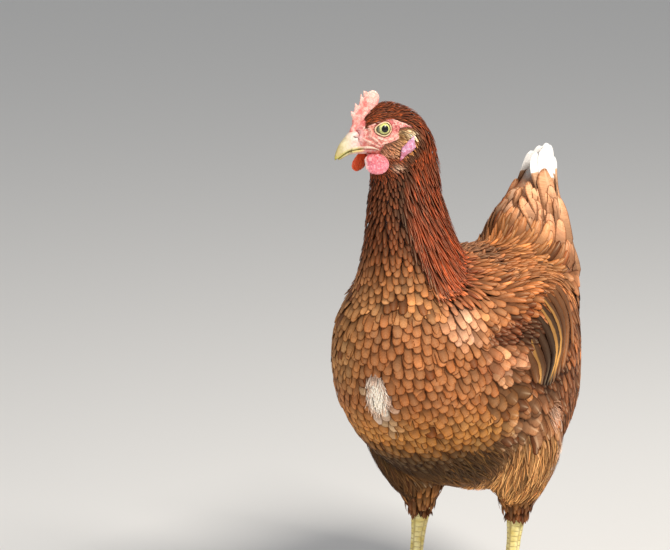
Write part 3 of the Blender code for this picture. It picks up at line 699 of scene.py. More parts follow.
closeUp = onFace & (coat["bare"] > 0.05)
fine[closeUp] = ripple(skinPlaces[closeUp], 900)
coarse[closeUp] = ripple(skinPlaces[closeUp], 380, 5)
pores = (fine * 0.14 + coarse * 0.24) * soft(0.2, 1.5, beyond)
relief = wrinkle * faceSet["foldHeight"] - seat * 0.3 - groove * 0.7 + pores
newOut = newOut + relief * coat["bare"] * (beyond > -0.35)
move = np.where(onFace, newOut - outwardness, 0) * np.sign(left) * mm
skinPlaces = skinPlaces + pushed(leftWay, move)
moveTo(skin.data, skinPlaces)


def lidRing(side):  # swollen rim round one eye's opening
    rings = []
    for a in roundTurn(faceSet["lidSteps"]):
        reach = float(lidReach(np.array([a]))[0])
        centre = reach + faceSet["lidWidth"] / 2
        out = float(lidLevel(np.array([reach]))[0])
        swell = faceSet["lidThickness"] * (1 + 0.10 * math.sin(a * 9 + 1) + 0.08 * math.sin(a * 23))
        ring = []
        for b in roundTurn(faceSet["lidSides"]):
            r = centre + math.cos(b) * swell * 1.15
            o = out + 0.1 + math.sin(b) * swell - math.cos(b) * 0.15
            ring.append(headPoint(pupilAhead + r * math.cos(a), pupilAbove + r * math.sin(a), side * o))
        rings.append(ring)
    return loft("lid", rings, closed=True)


skinVerts, skinFaces = len(skin.data.vertices), len(skin.data.polygons)
skin = joinedInto(skin, lidRing(1), lidRing(-1))
bpy.ops.object.mode_set(mode="EDIT")
bpy.ops.mesh.select_all(action="SELECT")
bpy.ops.uv.smart_project(angle_limit=math.radians(66), island_margin=0.002)
bpy.ops.object.mode_set(mode="OBJECT")
skin.data.uv_layers[0].name = "OFBake"
print("skin unwrapped")


# feathers
vaneSet = {
    "tries": 5,  # random roots tried for each one wanted
    "even": (1.45, 0.22),  # roots nearer than this many gaps are pushed apart, by this share
    "steps": 6,  # of the way that a feather follows over the skin
    "own": 0.75,  # how far it keeps its own heading at each step
    "float": 0.2 * mm,  # least height over the skin
    "narrowest": 0.1 * mm,
    "bake": 0.003,  # size of one vane on the skin's unwrap
    "rows": {  # where the cross rows lie, from root to tip
        "small": (0, 0.35, 0.7, 1),
        "hackle": (0, 0.16, 0.34, 0.52, 0.7, 0.86, 1),
        "body": (0, 0.22, 0.42, 0.58, 0.70, 0.80, 0.88, 0.94, 0.98, 1),
        "long": (0, 0.12, 0.25, 0.38, 0.5, 0.62, 0.74, 0.84, 0.91, 0.96, 0.99, 1),
    },
}

skin.data.calc_loop_triangles()
triangles = skin.data.loop_triangles
own = readOut(triangles, "polygon_index", 1, np.int32) < skinFaces  # without the lids
triVerts = readOut(triangles, "vertices", 3, np.int32)[own]
triLoops = readOut(triangles, "loops", 3, np.int32)[own]
unwrap = readOut(skin.data.uv_layers["OFBake"].data, "uv", 2)
ground = BVHTree.FromPolygons([Vector(p) for p in skinPlaces], triVerts.tolist())
triNormal = unit(normals[triVerts].mean(axis=1))
triFlow = flow[triVerts].mean(axis=1)
triFlow = unit(triFlow - triNormal * np.sum(triFlow * triNormal, axis=1)[:, None])
triDepth = depth[triVerts].mean(axis=1)
corners = skinPlaces[triVerts]
triArea = np.linalg.norm(np.cross(corners[:, 1] - corners[:, 0], corners[:, 2] - corners[:, 0]), axis=1) / 2


def onTriangles(values):
    return values[triVerts].mean(axis=1)


def rootUv(index, spot):  # place of a root on the skin's unwrap
    a, b, c = corners[index]
    whole = np.linalg.norm(np.cross(b - a, c - a))
    wa = np.linalg.norm(np.cross(b - spot, c - spot)) / whole
    wb = np.linalg.norm(np.cross(c - spot, a - spot)) / whole
    return unwrap[triLoops[index]].T @ np.array([wa, wb, max(0.0, 1 - wa - wb)])


def scattered(wanted, gap, rounds):  # roots about a gap apart on the wanted triangles
    chance = triArea * wanted / (gap * gap)
    tries = int(chance.sum() * vaneSet["tries"])
    picks = dice.choice(len(chance), tries, p=chance / chance.sum())
    a, b = dice.random(tries), dice.random(tries)
    flip = a + b > 1
    a[flip], b[flip] = 1 - a[flip], 1 - b[flip]
    weights = np.stack([1 - a - b, a, b], axis=1)
    spots = np.einsum("ij,ijk->ik", weights, corners[picks])
    gaps = gap[picks]
    cell = float(gap[wanted > 0].max())
    cells = np.floor(spots / cell).astype(int)
    kept, filled = [], {}
    around = [(i, j, k) for i in (-1, 0, 1) for j in (-1, 0, 1) for k in (-1, 0, 1)]
    for i in range(tries):
        cx, cy, cz = cells[i]
        x, y, z = spots[i]
        limit = gaps[i] * gaps[i]
        clear = True
        for dx, dy, dz in around:
            for ox, oy, oz in filled.get((cx + dx, cy + dy, cz + dz), ()):
                if (x - ox) ** 2 + (y - oy) ** 2 + (z - oz) ** 2 < limit:
                    clear = False
                    break
            if not clear:
                break
        if clear:
            kept.append(i)
            filled.setdefault((cx, cy, cz), []).append((x, y, z))
    spots, picks = spots[kept], picks[kept]
    # neighbours push each other until they lie evenly
    near, strength = vaneSet["even"]
    for _ in range(rounds):
        away = spots[:, None] - spots[None]
        apart = np.linalg.norm(away, axis=2) + np.eye(len(spots))
        reach = gap[picks][:, None] * near
        push = np.clip(1 - apart / reach, 0, 1) * (1 - np.eye(len(spots)))
        spots = spots + (away / apart[..., None] * (push * reach * strength)[..., None]).sum(axis=1)
        for i in range(len(spots)):
            place, _, index, _ = ground.find_nearest(Vector(spots[i]))
            spots[i] = place
            picks[i] = index
    uv = np.array([rootUv(index, spot) for index, spot in zip(picks, spots)])
    return picks, spots, uv


def pathsOver(picks, spots, lengths, sway, bend):  # each feather's way over the skin
    count, steps, own = len(picks), vaneSet["steps"], vaneSet["own"]
    path = np.empty((count, steps + 1, 3))
    outward = np.empty((count, steps + 1, 3))
    deep = np.empty((count, steps + 1))
    for i in range(count):
        place, index = Vector(spots[i]), picks[i]
        normal = Vector(triNormal[index])
        heading = Matrix.Rotation(sway[i], 3, normal) @ Vector(triFlow[index])
        path[i, 0], outward[i, 0], deep[i, 0] = place, normal, triDepth[index]
        step = lengths[i] / steps
        for j in range(1, steps + 1):
            place, _, index, _ = ground.find_nearest(place + heading * step)
            normal = Vector(triNormal[index])
            heading = Matrix.Rotation(bend[i] / steps, 3, normal) @ heading
            heading = heading * own + Vector(triFlow[index]) * (1 - own)
            heading = (heading - normal * heading.dot(normal)).normalized()
            path[i, j], outward[i, j], deep[i, j] = place, normal, triDepth[index]
    return path, outward, deep


# tone: each feather's colour and lot; style: its rim, shaft, white tip and length in tenths of a metre
def vaneMesh(
    name, path, outward, lift, width, point, tone, style, uv, kind, across=5, cup=0.1, thick=0.3, ragged=0.05,
    mirror=1,
):
    count, steps = len(path), path.shape[1] - 1
    t = np.asarray(vaneSet["rows"][kind])
    at = t * steps
    low = np.minimum(at.astype(int), steps - 1)
    rest = (at - low)[None, :, None]
    middle = path[:, low] * (1 - rest) + path[:, low + 1] * rest
    normal = unit(outward[:, low] * (1 - rest) + outward[:, low + 1] * rest)
    lifted = lift[:, low] * (1 - rest[..., 0]) + lift[:, low + 1] * rest[..., 0]
    middle = middle + normal * lifted[..., None]
    tangent = unit(np.gradient(middle, axis=1))
    sideways = unit(np.cross(tangent, normal))
    normal = np.cross(sideways, tangent)

    # a round tip is a half circle, and a pointed one tapers from a third of the way
    length = np.linalg.norm(np.diff(path, axis=1), axis=2).sum(axis=1)
    turnsIn = (1 - np.clip(0.55 * width / length, 0.12, 0.6))[:, None]
    roundTip = np.sqrt(np.clip(1 - np.clip((t - turnsIn) / (1 - turnsIn), 0, 1) ** 2, 0, 1))
    pointTip = 1 - np.clip((t - 0.3) / 0.7, 0, 1) ** 1.6
    tip = roundTip * (1 - point[:, None]) + pointTip * point[:, None]
    half = width[:, None] / 2 * (0.4 + 0.6 * soft(0, 0.42, t)) * tip
    half = np.maximum(half, vaneSet["narrowest"])
    rough = 1 + dice.normal(0, ragged, (count, len(t), 2)) * np.minimum(t * 3, 1)[None, :, None]
    verts = np.empty((count, len(t), across + 1, 3))
    vane = np.empty((count, len(t), across + 1, 2))
    roll = dice.normal(0, 0.05, count)[:, None]
    for c, k in enumerate(np.linspace(-1, 1, across)):
        reach = half * k * (rough[..., 0] if k < 0 else rough[..., 1])
        sunk = np.abs(reach) * cup * abs(k) - reach * roll
        verts[:, :, c] = middle + sideways * reach[..., None] - normal * sunk[..., None]
        vane[:, :, c, 0] = 0.5 + 0.5 * k * mirror
    verts[:, :, across] = middle - normal * (np.minimum(thick * mm, half * 0.5) + half * cup * 0.3)[..., None]
    vane[:, :, across, 0] = 0.5
    vane[..., 1] = t[None, :, None]
    ring = across + 1
    size = len(t) * ring
    quads = []
    for r in range(len(t) - 1):
        for c in range(ring):
            d = (c + 1) % ring
            quads.append((r * ring + c, r * ring + d, (r + 1) * ring + d, (r + 1) * ring + c))
    caps = [tuple(reversed(range(ring))), tuple((len(t) - 1) * ring + c for c in range(ring))]
    starts = (np.arange(count) * size)[:, None, None]
    quadIndex = (np.array(quads)[None] + starts).reshape(-1, 4)
    capIndex = (np.array(caps)[None] + starts).reshape(-1, ring)
    loops = np.concatenate([quadIndex.ravel(), capIndex.ravel()]).astype(np.int32)
    totals = np.concatenate([np.full(len(quadIndex), 4), np.full(len(capIndex), ring)]).astype(np.int32)
    mesh = bpy.data.meshes.new(name)
    mesh.vertices.add(count * size)
    mesh.vertices.foreach_set("co", verts.reshape(-1))
    mesh.loops.add(len(loops))
    mesh.loops.foreach_set("vertex_index", loops)
    mesh.polygons.add(len(totals))
    mesh.polygons.foreach_set("loop_start", np.concatenate([[0], np.cumsum(totals)[:-1]]).astype(np.int32))
    mesh.polygons.foreach_set("use_smooth", np.ones(len(totals), dtype=bool))
    mesh.update(calc_edges=True)
    mesh.validate()
    bake = (uv[:, None, None, :] + (vane - 0.5) * vaneSet["bake"]).reshape(-1, 2)[loops]
    mesh.uv_layers.new(name="OFBake").data.foreach_set("uv", bake.ravel())
    mesh.uv_layers.new(name="vane").data.foreach_set("uv", vane.reshape(-1, 2)[loops].ravel())
    setColours(mesh, "tone", np.repeat(tone, size, axis=0))
    setColours(mesh, "style", np.repeat(style, size, axis=0))
    pairs = readOut(mesh.edges, "vertices", 2, np.int32)
    spot, row = pairs % ring, pairs % size // ring
    rims = (spot[:, 0] == spot[:, 1]) & ((spot[:, 0] == 0) | (spot[:, 0] == across - 1))
    rims |= (row[:, 0] == row[:, 1]) & ((row[:, 0] == 0) | (row[:, 0] == len(t) - 1))
    mesh.attributes.new("sharp_edge", "BOOLEAN", "EDGE").data.foreach_set("value", rims)
    print(name, count, "feathers,", len(quadIndex) * 2 + len(capIndex) * (ring - 2), "triangles")
    return objectOf(name, mesh)


lotSet = {
    "drift": (0.03, -0.02, -0.08),  # of red, green and blue from feather to feather
    "dark": (0.46, 0.32, 0.24),
    "light": (1.35, 1.5, 1.6),
}


def toneLots(tone, spread, dark, light, white=None):  # each feather's own colour, and its lot
    count = len(tone)
    shade = dice.normal(0, spread, count)[:, None]
    shade = shade + dice.normal(0, 1, count)[:, None] * np.array(lotSet["drift"])
    lot = dice.random(count)[:, None]
    shade = shade + np.log(lotSet["dark"]) * (lot < dark) + np.log(lotSet["light"]) * (lot > 1 - light)
    if white is not None:
        shade = shade * (1 - white[:, None])
    return np.concatenate([tone * np.exp(shade), dice.random((count, 1))], axis=1)


# by: what the gap, length and width are multiplied by; lifting: height in the coat at root and tip;
# rim and shaft: how strong they are; dark and light: share of odd feathers; tip: how far the tips stand off
def coatPiece(
    name, wanted, kind, slot, spread=0.10, lifting=(0.12, 1.0), by=(1.0, 1.0, 1.0), rim=0.5, shaft=0.3,
    toneSpread=0.12, dark=0.0, light=0.0, sway=0.08, bend=0.0, rounds=0, point=None, tip=0.0, brighten=1.0,
    **form,
):
    gap = np.maximum(onTriangles(coat["gap"]), 1.0) * mm * by[0]
    picks, spots, uv = scattered(wanted.astype(float), gap, rounds)
    count = len(picks)
    length = onTriangles(coat["length"])[picks] * mm * np.exp(dice.normal(0, spread, count)) * by[1]
    width = onTriangles(coat["width"])[picks] * mm * np.exp(dice.normal(0, spread * 0.6, count)) * by[2]
    point = onTriangles(coat["point"])[picks] if point is None else point
    point = np.clip(point + dice.normal(0, 0.06, count), 0, 1)
    ruffle = onTriangles(coat["ruffle"])[picks]
    white = onTriangles(coat["white"])[picks]
    turns = dice.normal(0, 1, count) * (sway + ruffle * 0.45)
    bends = dice.normal(0, 1, count) * (bend + ruffle * 0.5)
    path, outward, deep = pathsOver(picks, spots, length, turns, bends)
    t = np.linspace(0, 1, vaneSet["steps"] + 1)
    rise = lifting[0] + (lifting[1] - lifting[0]) * t ** 0.5 - 0.03 * t ** 8
    inCoat = (deep * 0.6 + deep[:, :1] * 0.4) * rise[None, :]
    lift = inCoat * np.exp(dice.normal(0, 0.06, count))[:, None] + vaneSet["float"]
    loose = (np.abs(dice.normal(0, 1.3, count)) * ruffle + tip) * mm
    lift += loose[:, None] * t ** 2 + onTriangles(coat["raise"])[picks, None] * mm * t
    tone = coat["tone"][triVerts].mean(axis=1)[picks] * brighten
    style = np.tile(np.array([rim, shaft, 0.0, 0.0]), (count, 1))
    style[:, 0] *= 1 - 0.9 * white
    style[:, 3] = length / 0.1
    tones = toneLots(tone, toneSpread, dark, light, white)
    coats[name] = vaneMesh(name, path, outward, lift, width, point, tones, style, uv, kind, **form)
    slots[name] = slot


coats, slots = {}, {}
classes = coat["classes"][triVerts].mean(axis=1)
kindOf = np.argmax(classes, axis=1)
isHead, isCape, isThroat, isBreast, isTrunk, isTail, isWingLeft, isWingRight, isThigh = (
    kindOf == i for i in range(9)
)
fluffTri, whiteTri = onTriangles(coat["fluff"]), onTriangles(coat["white"])
middleX, triHeight = corners[:, :, 0].mean(axis=1), corners[:, :, 2].mean(axis=1)
borderSet = {  # metres, or shares of the fields above
    "bare": 0.45,
    "cheekTop": 0.421,
    "tailTop": 0.334,  # above it the listed tail feathers start
    "downy": 0.7,
    "plumes": 0.45,
    "plumeLow": 0.145,  # below it only outside the legs
    "legsInside": 0.026,
    "white": 0.3,
}
isCovered = onTriangles(coat["bare"]) < borderSet["bare"]
isCheek = isHead & (triHeight < borderSet["cheekTop"])
isDowny = fluffTri >= borderSet["downy"]
isOutside = (triHeight > borderSet["plumeLow"]) | (np.abs(middleX) > borderSet["legsInside"])
isPlumed = (fluffTri > borderSet["plumes"]) & isOutside
isWhite = (whiteTri > borderSet["white"]) & ~isWingLeft & ~isWingRight

shortCoat = dict(
    kind="small", slot="hackle_feather", across=3, cup=0.3, shaft=0.3, thick=0.2, lifting=(0.2, 1.1),
)
wingCoat = dict(
    kind="body", slot="wing_feather", cup=0.04, rim=0.7, shaft=0.35, toneSpread=0.28, dark=0.08, light=0.08,
    lifting=(0.2, 0.9), rounds=6, bend=0.15,
)
plumes = dict(
    kind="hackle", slot="thigh_feather", across=3, by=(0.44, 1.4, 0.2), point=0.8, rim=0.1, shaft=0.0,
    toneSpread=0.4, dark=0.1, light=0.3, lifting=(0.5, 1.05), sway=0.1, bend=0.3, tip=0.3, brighten=1.1,
)
coatSet = {
    "head_coat": dict(
        shortCoat, wanted=isHead & ~isCheek & isCovered, rim=0.3, toneSpread=0.4, dark=0.15, light=0.15,
        sway=0.14,
    ),
    "cheek_coat": dict(
        shortCoat, wanted=isCheek & isCovered, rim=0.2, toneSpread=0.28, sway=0.22, brighten=1.35,
    ),
    "hackle_coat": dict(
        wanted=isCape, kind="hackle", slot="hackle_feather", across=3, cup=0.35, rim=0.35, shaft=0.6,
        toneSpread=0.38, dark=0.22, light=0.14, lifting=(0.15, 1.2), sway=0.07, bend=0.2,
    ),
    "throat_coat": dict(
        wanted=isThroat, kind="body", slot="hackle_feather", cup=0.04, rim=0.85, shaft=0.15, toneSpread=0.2,
        dark=0.08, lifting=(0.2, 0.9), rounds=8,
    ),
    "breast_coat": dict(
        wanted=isBreast & ~isDowny, kind="body", slot="breast_feather", cup=0.03, rim=0.88, shaft=0.12,
        toneSpread=0.12, dark=0.04, light=0.01, lifting=(0.2, 0.9), rounds=10, sway=0.08,
    ),
    "back_coat": dict(
        wanted=isTrunk & ~isDowny, kind="body", slot="back_feather", cup=0.08, rim=0.55, shaft=0.5,
        toneSpread=0.3, dark=0.08, light=0.1, lifting=(0.2, 1.0), sway=0.12, bend=0.2,
    ),
    "tail_coat": dict(
        wanted=isTail & (triHeight < borderSet["tailTop"]), kind="body", slot="tail_feather", across=7,
        cup=0.05, rim=0.85, shaft=0.5, toneSpread=0.16, dark=0.03, lifting=(0.2, 0.8), rounds=6, sway=0.14,
    ),
    "wing_coat_left": dict(wingCoat, wanted=isWingLeft),
    "wing_coat_right": dict(wingCoat, wanted=isWingRight),
    "thigh_coat": dict(
        wanted=isThigh | (isDowny & (isBreast | isTrunk)), kind="body", slot="thigh_feather", rim=0.3,
        shaft=0.1, toneSpread=0.16, lifting=(0.1, 0.85), ragged=0.12,
    ),
    "plumes_left": dict(plumes, wanted=isPlumed & (middleX > 0)),
    "plumes_right": dict(plumes, wanted=isPlumed & (middleX <= 0)),
    "white_down": dict(
        wanted=isWhite, kind="hackle", slot="breast_feather", across=3, by=(0.19, 0.55, 0.075), point=0.7,
        rim=0.0, shaft=0.0, toneSpread=0.1, lifting=(0.6, 1.1), sway=0.25, bend=0.5, tip=0.3, brighten=1.8,
    ),
}
for name, settings in coatSet.items():
    coatPiece(name, **settings)


def handLaid(name, slot, kind, point, path, outward, tones, style, widths, uv, lift=None, **form):
    path = np.array(path)
    lift = np.zeros(path.shape[:2]) if lift is None else np.array(lift)
    coats[name] = vaneMesh(
        name, path, np.array(outward), lift, np.array(widths), np.full(len(path), point), np.array(tones),
        np.array(style), np.array(uv), kind, **form,
    )
    slots[name] = slot


# long feathers laid in their places, listed for the left side: (backward, up) through each in millimetres
tailSet = {
    # root and tip: back and up, then how far over the skin, width, and white share
    "inner": (
        ((92, 320), (99, 382.5), 0.6, 24, 0.26), ((101, 318), (112, 385), 1.0, 27, 0.38),
        ((107, 318), (122, 386), 1.4, 18, 0.36), ((112, 316), (129, 375), 1.8, 12, 0.18),
    ),
    "outer": (
        ((68, 306), (72, 350), 1.4, 17, 0), ((77, 308), (82, 361), 1.7, 17, 0),
        ((92, 305), (105, 369), 2.4, 34, 0), ((104, 304), (123, 357), 2.4, 16, 0.02),
        ((108, 298), (128, 346), 2.8, 15, 0), ((100, 296), (115, 345), 3.8, 33, 0),
        ((108, 284), (130, 330), 2.8, 15, 0), ((110, 270), (131, 312), 3.0, 15, 0),
    ),
    "innerTone": (236, 186, 146),
    "outerTone": (242, 178, 132),
    "bow": 3.0,
    "lean": 6.0,  # how much further back the right half lies
    "off": 3 * mm,  # from the midline where nothing lies under a feather
    "inward": 0.72,  # how fast it comes down to that beyond the body
    "sunk": 1.5,  # how deep the root starts
    "rows": 9,
}


def tailFan(side, name, layer, tone):
    rows, sunk = tailSet["rows"], tailSet["sunk"]
    path, outward, tones, style, widths, uv = [], [], [], [], [], []
    for root, tip, over, width, white in layer:
        back = tailSet["lean"] if side < 0 else 0
        start, end = (Vector((0, (place[0] + back) * mm, place[1] * mm)) for place in (root, tip))
        points, off = [], tailSet["off"]
        for i in range(rows):
            bow = tailSet["bow"] * mm * math.sin(math.pi * i / (rows - 1))
            point = start.lerp(end, i / (rows - 1)) + Vector((0, bow, 0))
            hit = ground.ray_cast(point + Vector((side * 0.1, 0, 0)), Vector((-side, 0, 0)))[0]
            off = max(abs(hit.x) if hit is not None else 0, off * tailSet["inward"])
            points.append((side * (off + (over + sunk) * mm * min(1, i / 3) - sunk * mm), point.y, point.z))
        path.append(points)
        outward.append([tuple(Vector((side, 0.05, 0.12 + 0.25 * i / rows)).normalized()) for i in range(rows)])
        tones.append([*(tone * math.exp(dice.normal(0, 0.08))), dice.random()])
        style.append([0.7, 0.5, white, (end - start).length / 0.1])
        widths.append(width * mm)
        place, _, index, _ = ground.find_nearest(points[0])
        uv.append(rootUv(index, np.array(place)))
    handLaid(
        name, "tail_feather", "long", 0.12, path, outward, tones, style, widths, uv, across=9, cup=0.14,
        thick=0.5, ragged=0.03,
    )


flightSet = {
    # root, two places on the way, tip: back and up; then width, darkness, gold edge and how far over the coat
    "flights": (
        ((18, 297), (38, 279), (44, 260), (38, 238), 15, 0.1, 0, 3.8),
        ((8, 298), (28, 276), (32, 252), (16, 224), 14, 0.35, 0, 3.4),
        ((1, 294), (20, 272), (25, 249), (9, 219), 14, 0.55, 0, 3.0),
        ((-6, 289), (12, 268), (18, 246), (3, 217), 13, 0.7, 1, 2.7),
        ((-13, 283), (4, 263), (11, 242), (-2, 216), 13, 0.95, 1, 2.4),
        ((-20, 276), (-5, 257), (3, 238), (-6, 216), 12, 1.0, 0, 2.1),
        ((-26, 269), (-14, 251), (-6, 234), (-10, 217), 12, 0.95, 0, 1.8),
        ((-32, 261), (-23, 245), (-15, 231), (-14, 219), 11, 0.75, 1, 1.5),
        ((-37, 253), (-31, 240), (-24, 230), (-19, 222), 10, 0.5, 0, 1.2),
    ),
    "shade": (34, 18, 8),
    "light": (176, 110, 62),
    "rise": (3.0, 1.4),  # height over the skin at the root, and gained on the first third
}


def flights(side, name):
    path, outward, tones, style, widths, uv, lift = [], [], [], [], [], [], []
    rootRise, gained = flightSet["rise"]
    for *line, width, dark, gold, over in flightSet["flights"]:
        points, faces = [], []
        for backward, up in rowsThrough(line, 3):
            start = Vector((side * 0.2, backward * mm, up * mm))
            place, _, index, _ = ground.ray_cast(start, Vector((-side, 0, 0)))
            points.append(tuple(place))
            faces.append(tuple(Vector(triNormal[index])))
            if len(points) == 1:
                uv.append(rootUv(index, np.array(place)))
        path.append(points)
        outward.append(faces)
        lift.append([(rootRise + gained * min(1, i / 3) + over * i / 9) * mm for i in range(10)])
        tone = tinted(paint(*flightSet["light"]), flightSet["shade"], dark)
        tones.append([*(tone * math.exp(dice.normal(0, 0.1))), dice.random()])
        style.append([1.0 if gold else 0.8, 0.35, 0.0, 0.8])
        widths.append(width * mm)
    handLaid(
        name, "wing_feather", "long", 0.4, path, outward, tones, style, widths, uv, lift, across=7, cup=0.12,
        thick=0.4, ragged=0.05, mirror=side,
    )


cuffSet = {  # short feathers over the top of the shank, millimetres
    "count": 26,
    "rows": 4,
    "above": 6.0,
    "below": 8.0,
    "step": 5.8,
    "width": 4.8,
    "off": 1.5,
    "apart": 0.024,  # roots further out than this lie between the legs, on the trunk, in metres
    "dark": (98, 46, 20),
    "light": (190, 128, 70),
    "style": (0.3, 0.2, 0.0, 0.25),
}


def cuff(side, name):
    hock, halfWidth = hockOf(side)
    axis = Vector((hock.x, hock.y, 0))
    reach = halfWidth + cuffSet["off"] * mm
    path, outward, tones, uv = [], [], [], []
    stations = np.linspace(0, 1, 7)
    for row in range(cuffSet["rows"]):
        for i in range(cuffSet["count"]):
            a = 2 * math.pi * (i + row * 0.5) / cuffSet["count"] + dice.normal(0, 0.05)
            away = Vector((math.cos(a), math.sin(a), 0))
            start = axis + Vector((0, 0, hock.z + (cuffSet["above"] + row * cuffSet["step"]) * mm))
            place, _, index, far = ground.ray_cast(start, away)
            if far > cuffSet["apart"]:
                continue
            drop = (cuffSet["below"] - row * cuffSet["step"] + dice.normal(0, 1.5)) * mm
            end = axis + away * (reach + row * 1.2 * mm) + Vector((0, 0, hock.z - drop))
            first = place + away * (1.0 + row * 0.8) * mm
            middle = first.lerp(end, 0.5) + away * 3.0 * mm
            curve = [first * (1 - t) ** 2 + middle * 2 * t * (1 - t) + end * t * t for t in stations]
            path.append([tuple(point) for point in curve])
            outward.append([tuple(away)] * len(stations))
            lightness = (row + dice.random()) / cuffSet["rows"]
            tones.append(tinted(paint(*cuffSet["dark"]), cuffSet["light"], lightness))
            uv.append(rootUv(index, np.array(place)))
    count = len(path)
    tones = toneLots(np.array(tones), 0.2, 0.1, 0.1)
    style = np.tile(cuffSet["style"], (count, 1))
    widths = np.full(count, cuffSet["width"] * mm)
    handLaid(name, "thigh_feather", "hackle", 0.6, path, outward, tones, style, widths, uv, across=5)


for side, name in sides:
    tailFan(side, "tail_fan_" + name, tailSet["inner"], paint(*tailSet["innerTone"]))
    tailFan(side, "tail_cover_" + name, tailSet["outer"], paint(*tailSet["outerTone"]))
    flights(side, "flights_" + name)
    cuff(name, "cuff_" + name)


# materials
def newMaterial(name):
    material = bpy.data.materials.new(name)
    material.use_nodes = True
    nodes = material.node_tree.nodes
    return material, nodes, material.node_tree.links, nodes["Principled BSDF"]


def feed(links, socket, value):
    if hasattr(value, "links"):
        links.new(value, socket)
    elif isinstance(value, (int, float)) or not hasattr(socket.default_value, "__len__"):
        socket.default_value = value
    else:
        socket.default_value = (*value, 1)[: len(socket.default_value)]


def setSockets(node, values):
    for name, value in values.items():
        node.inputs[name].default_value = value


def mathNode(nodes, links, operation, *inputs):
    node = nodes.new("ShaderNodeMath")
    node.operation = operation
    for socket, value in zip(node.inputs, inputs):
        feed(links, socket, value)
    return node.outputs[0]


def smoothMask(nodes, links, value, low, high):  # 0 at low, 1 at high
    node = nodes.new("ShaderNodeMapRange")
    node.interpolation_type = "SMOOTHSTEP"
    links.new(value, node.inputs["Value"])
    setSockets(node, {"From Min": low, "From Max": high})
    return node.outputs["Result"]


def mixColour(nodes, links, share, a, b, blend="MIX"):
    node = nodes.new("ShaderNodeMix")
    node.data_type, node.blend_type = "RGBA", blend
    for socket, value in ((node.inputs[0], share), (node.inputs[6], a), (node.inputs[7], b)):
        feed(links, socket, value)
    return node.outputs[2]


def noiseNode(nodes, links, vector, scale, detail):
    node = nodes.new("ShaderNodeTexNoise")
    setSockets(node, {"Detail": detail})
    feed(links, node.inputs["Scale"], scale)
    links.new(vector, node.inputs["Vector"])
    return node.outputs["Fac"]


def pointNode(nodes, links, *values):
    node = nodes.new("ShaderNodeCombineXYZ")
    for socket, value in zip(node.inputs, values):
        feed(links, socket, value)
    return node.outputs[0]


def bumpNode(nodes, links, height, strength, distance):
    node = nodes.new("ShaderNodeBump")
    for name, value in (("Strength", strength), ("Distance", distance), ("Height", height)):
        feed(links, node.inputs[name], value)
    return node.outputs[0]


def toolsOf(nodes, links):  # the node makers above, bound to one material
    tools = (mathNode, smoothMask, mixColour, noiseNode, pointNode, bumpNode)
    return (partial(tool, nodes, links) for tool in tools)


def attributeNode(nodes, name):
    node = nodes.new("ShaderNodeAttribute")
    node.attribute_name = name
    return node


def mottledGroup():  # the painted tone, mottled and finely pitted
    group = bpy.data.node_groups.new("mottled surface", "ShaderNodeTree")
    given = (("Tone", "Color"), ("Scale", "Float"), ("Tint", "Color"), ("Amount", "Float"), ("Relief", "Float"))
    made = (("Colour", "Color"), ("Grain", "Float"), ("Normal", "Vector"))
    for way, sockets in (("INPUT", given), ("OUTPUT", made)):
        for socket, kind in sockets:
            group.interface.new_socket(socket, in_out=way, socket_type="NodeSocket" + kind)
    nodes, links = group.nodes, group.links
    calc, mask, mix, noisy, _, bumped = toolsOf(nodes, links)
    tone, scale, tint, amount, relief = nodes.new("NodeGroupInput").outputs[:5]
    colour, grain, normal = nodes.new("NodeGroupOutput").inputs[:3]
    place = nodes.new("ShaderNodeTexCoord").outputs["Object"]
    cloud = noisy(place, calc("MULTIPLY", scale, 0.45), 4.0)
    cells = nodes.new("ShaderNodeTexVoronoi")
    links.new(place, cells.inputs["Vector"])
    links.new(scale, cells.inputs["Scale"])
    height = calc("MULTIPLY_ADD", cells.outputs["Distance"], -0.6, cloud)
    share = calc("MULTIPLY", mask(cloud, 0.35, 0.7), amount)
    links.new(mix(share, tone, mix(1.0, tone, tint, "MULTIPLY")), colour)
    links.new(cloud, grain)
    links.new(bumped(height, 0.6, relief), normal)
    return group


mottled = mottledGroup()


def mottledMaterial(name, scale, tint, amount, relief, roughness, softness=0.0):
    material, nodes, links, shader = newMaterial(name)
    effect = nodes.new("ShaderNodeGroup")
    effect.node_tree = mottled
    links.new(attributeNode(nodes, "tone").outputs["Color"], effect.inputs["Tone"])
    for socket, value in (("Scale", scale), ("Tint", tint), ("Amount", amount), ("Relief", relief)):
        feed(links, effect.inputs[socket], value)
    links.new(effect.outputs["Colour"], shader.inputs["Base Color"])
    links.new(effect.outputs["Normal"], shader.inputs["Normal"])
    rough = nodes.new("ShaderNodeMapRange")
    links.new(effect.outputs["Grain"], rough.inputs["Value"])
    setSockets(rough, {"To Min": roughness - 0.08, "To Max": roughness + 0.1})
    links.new(rough.outputs["Result"], shader.inputs["Roughness"])
    setSockets(
        shader,
        {"Subsurface Weight": softness, "Subsurface Radius": (1.0, 0.35, 0.25), "Subsurface Scale": 0.0015},
    )
    return material


featherSet = {
    "dark": (0.22, 0.14, 0.09),  # what the dark rim multiplies the tone by: partly the feathers' own dark edge, partly painted shadow between overlapping feathers
    "blotch": (0.42, 0.32, 0.24),  # what barbs and blotches multiply it by
    "gold": (230, 168, 92),  # edge of the flight feathers
    "field": (0.80, 0.58, 0.36),
    "shaft": (0.90, 0.66, 0.42),
    # root: painted shade where each feather lies under those above it
    "root": (0.05, 0.022, 0.010),
    "white": (0.88, 0.86, 0.83),
    "barbs": 0.45,
    "blotches": 0.4,
    "goldFrom": 0.95,  # a stronger rim than this is golden
    "relief": 0.3 * mm,
}


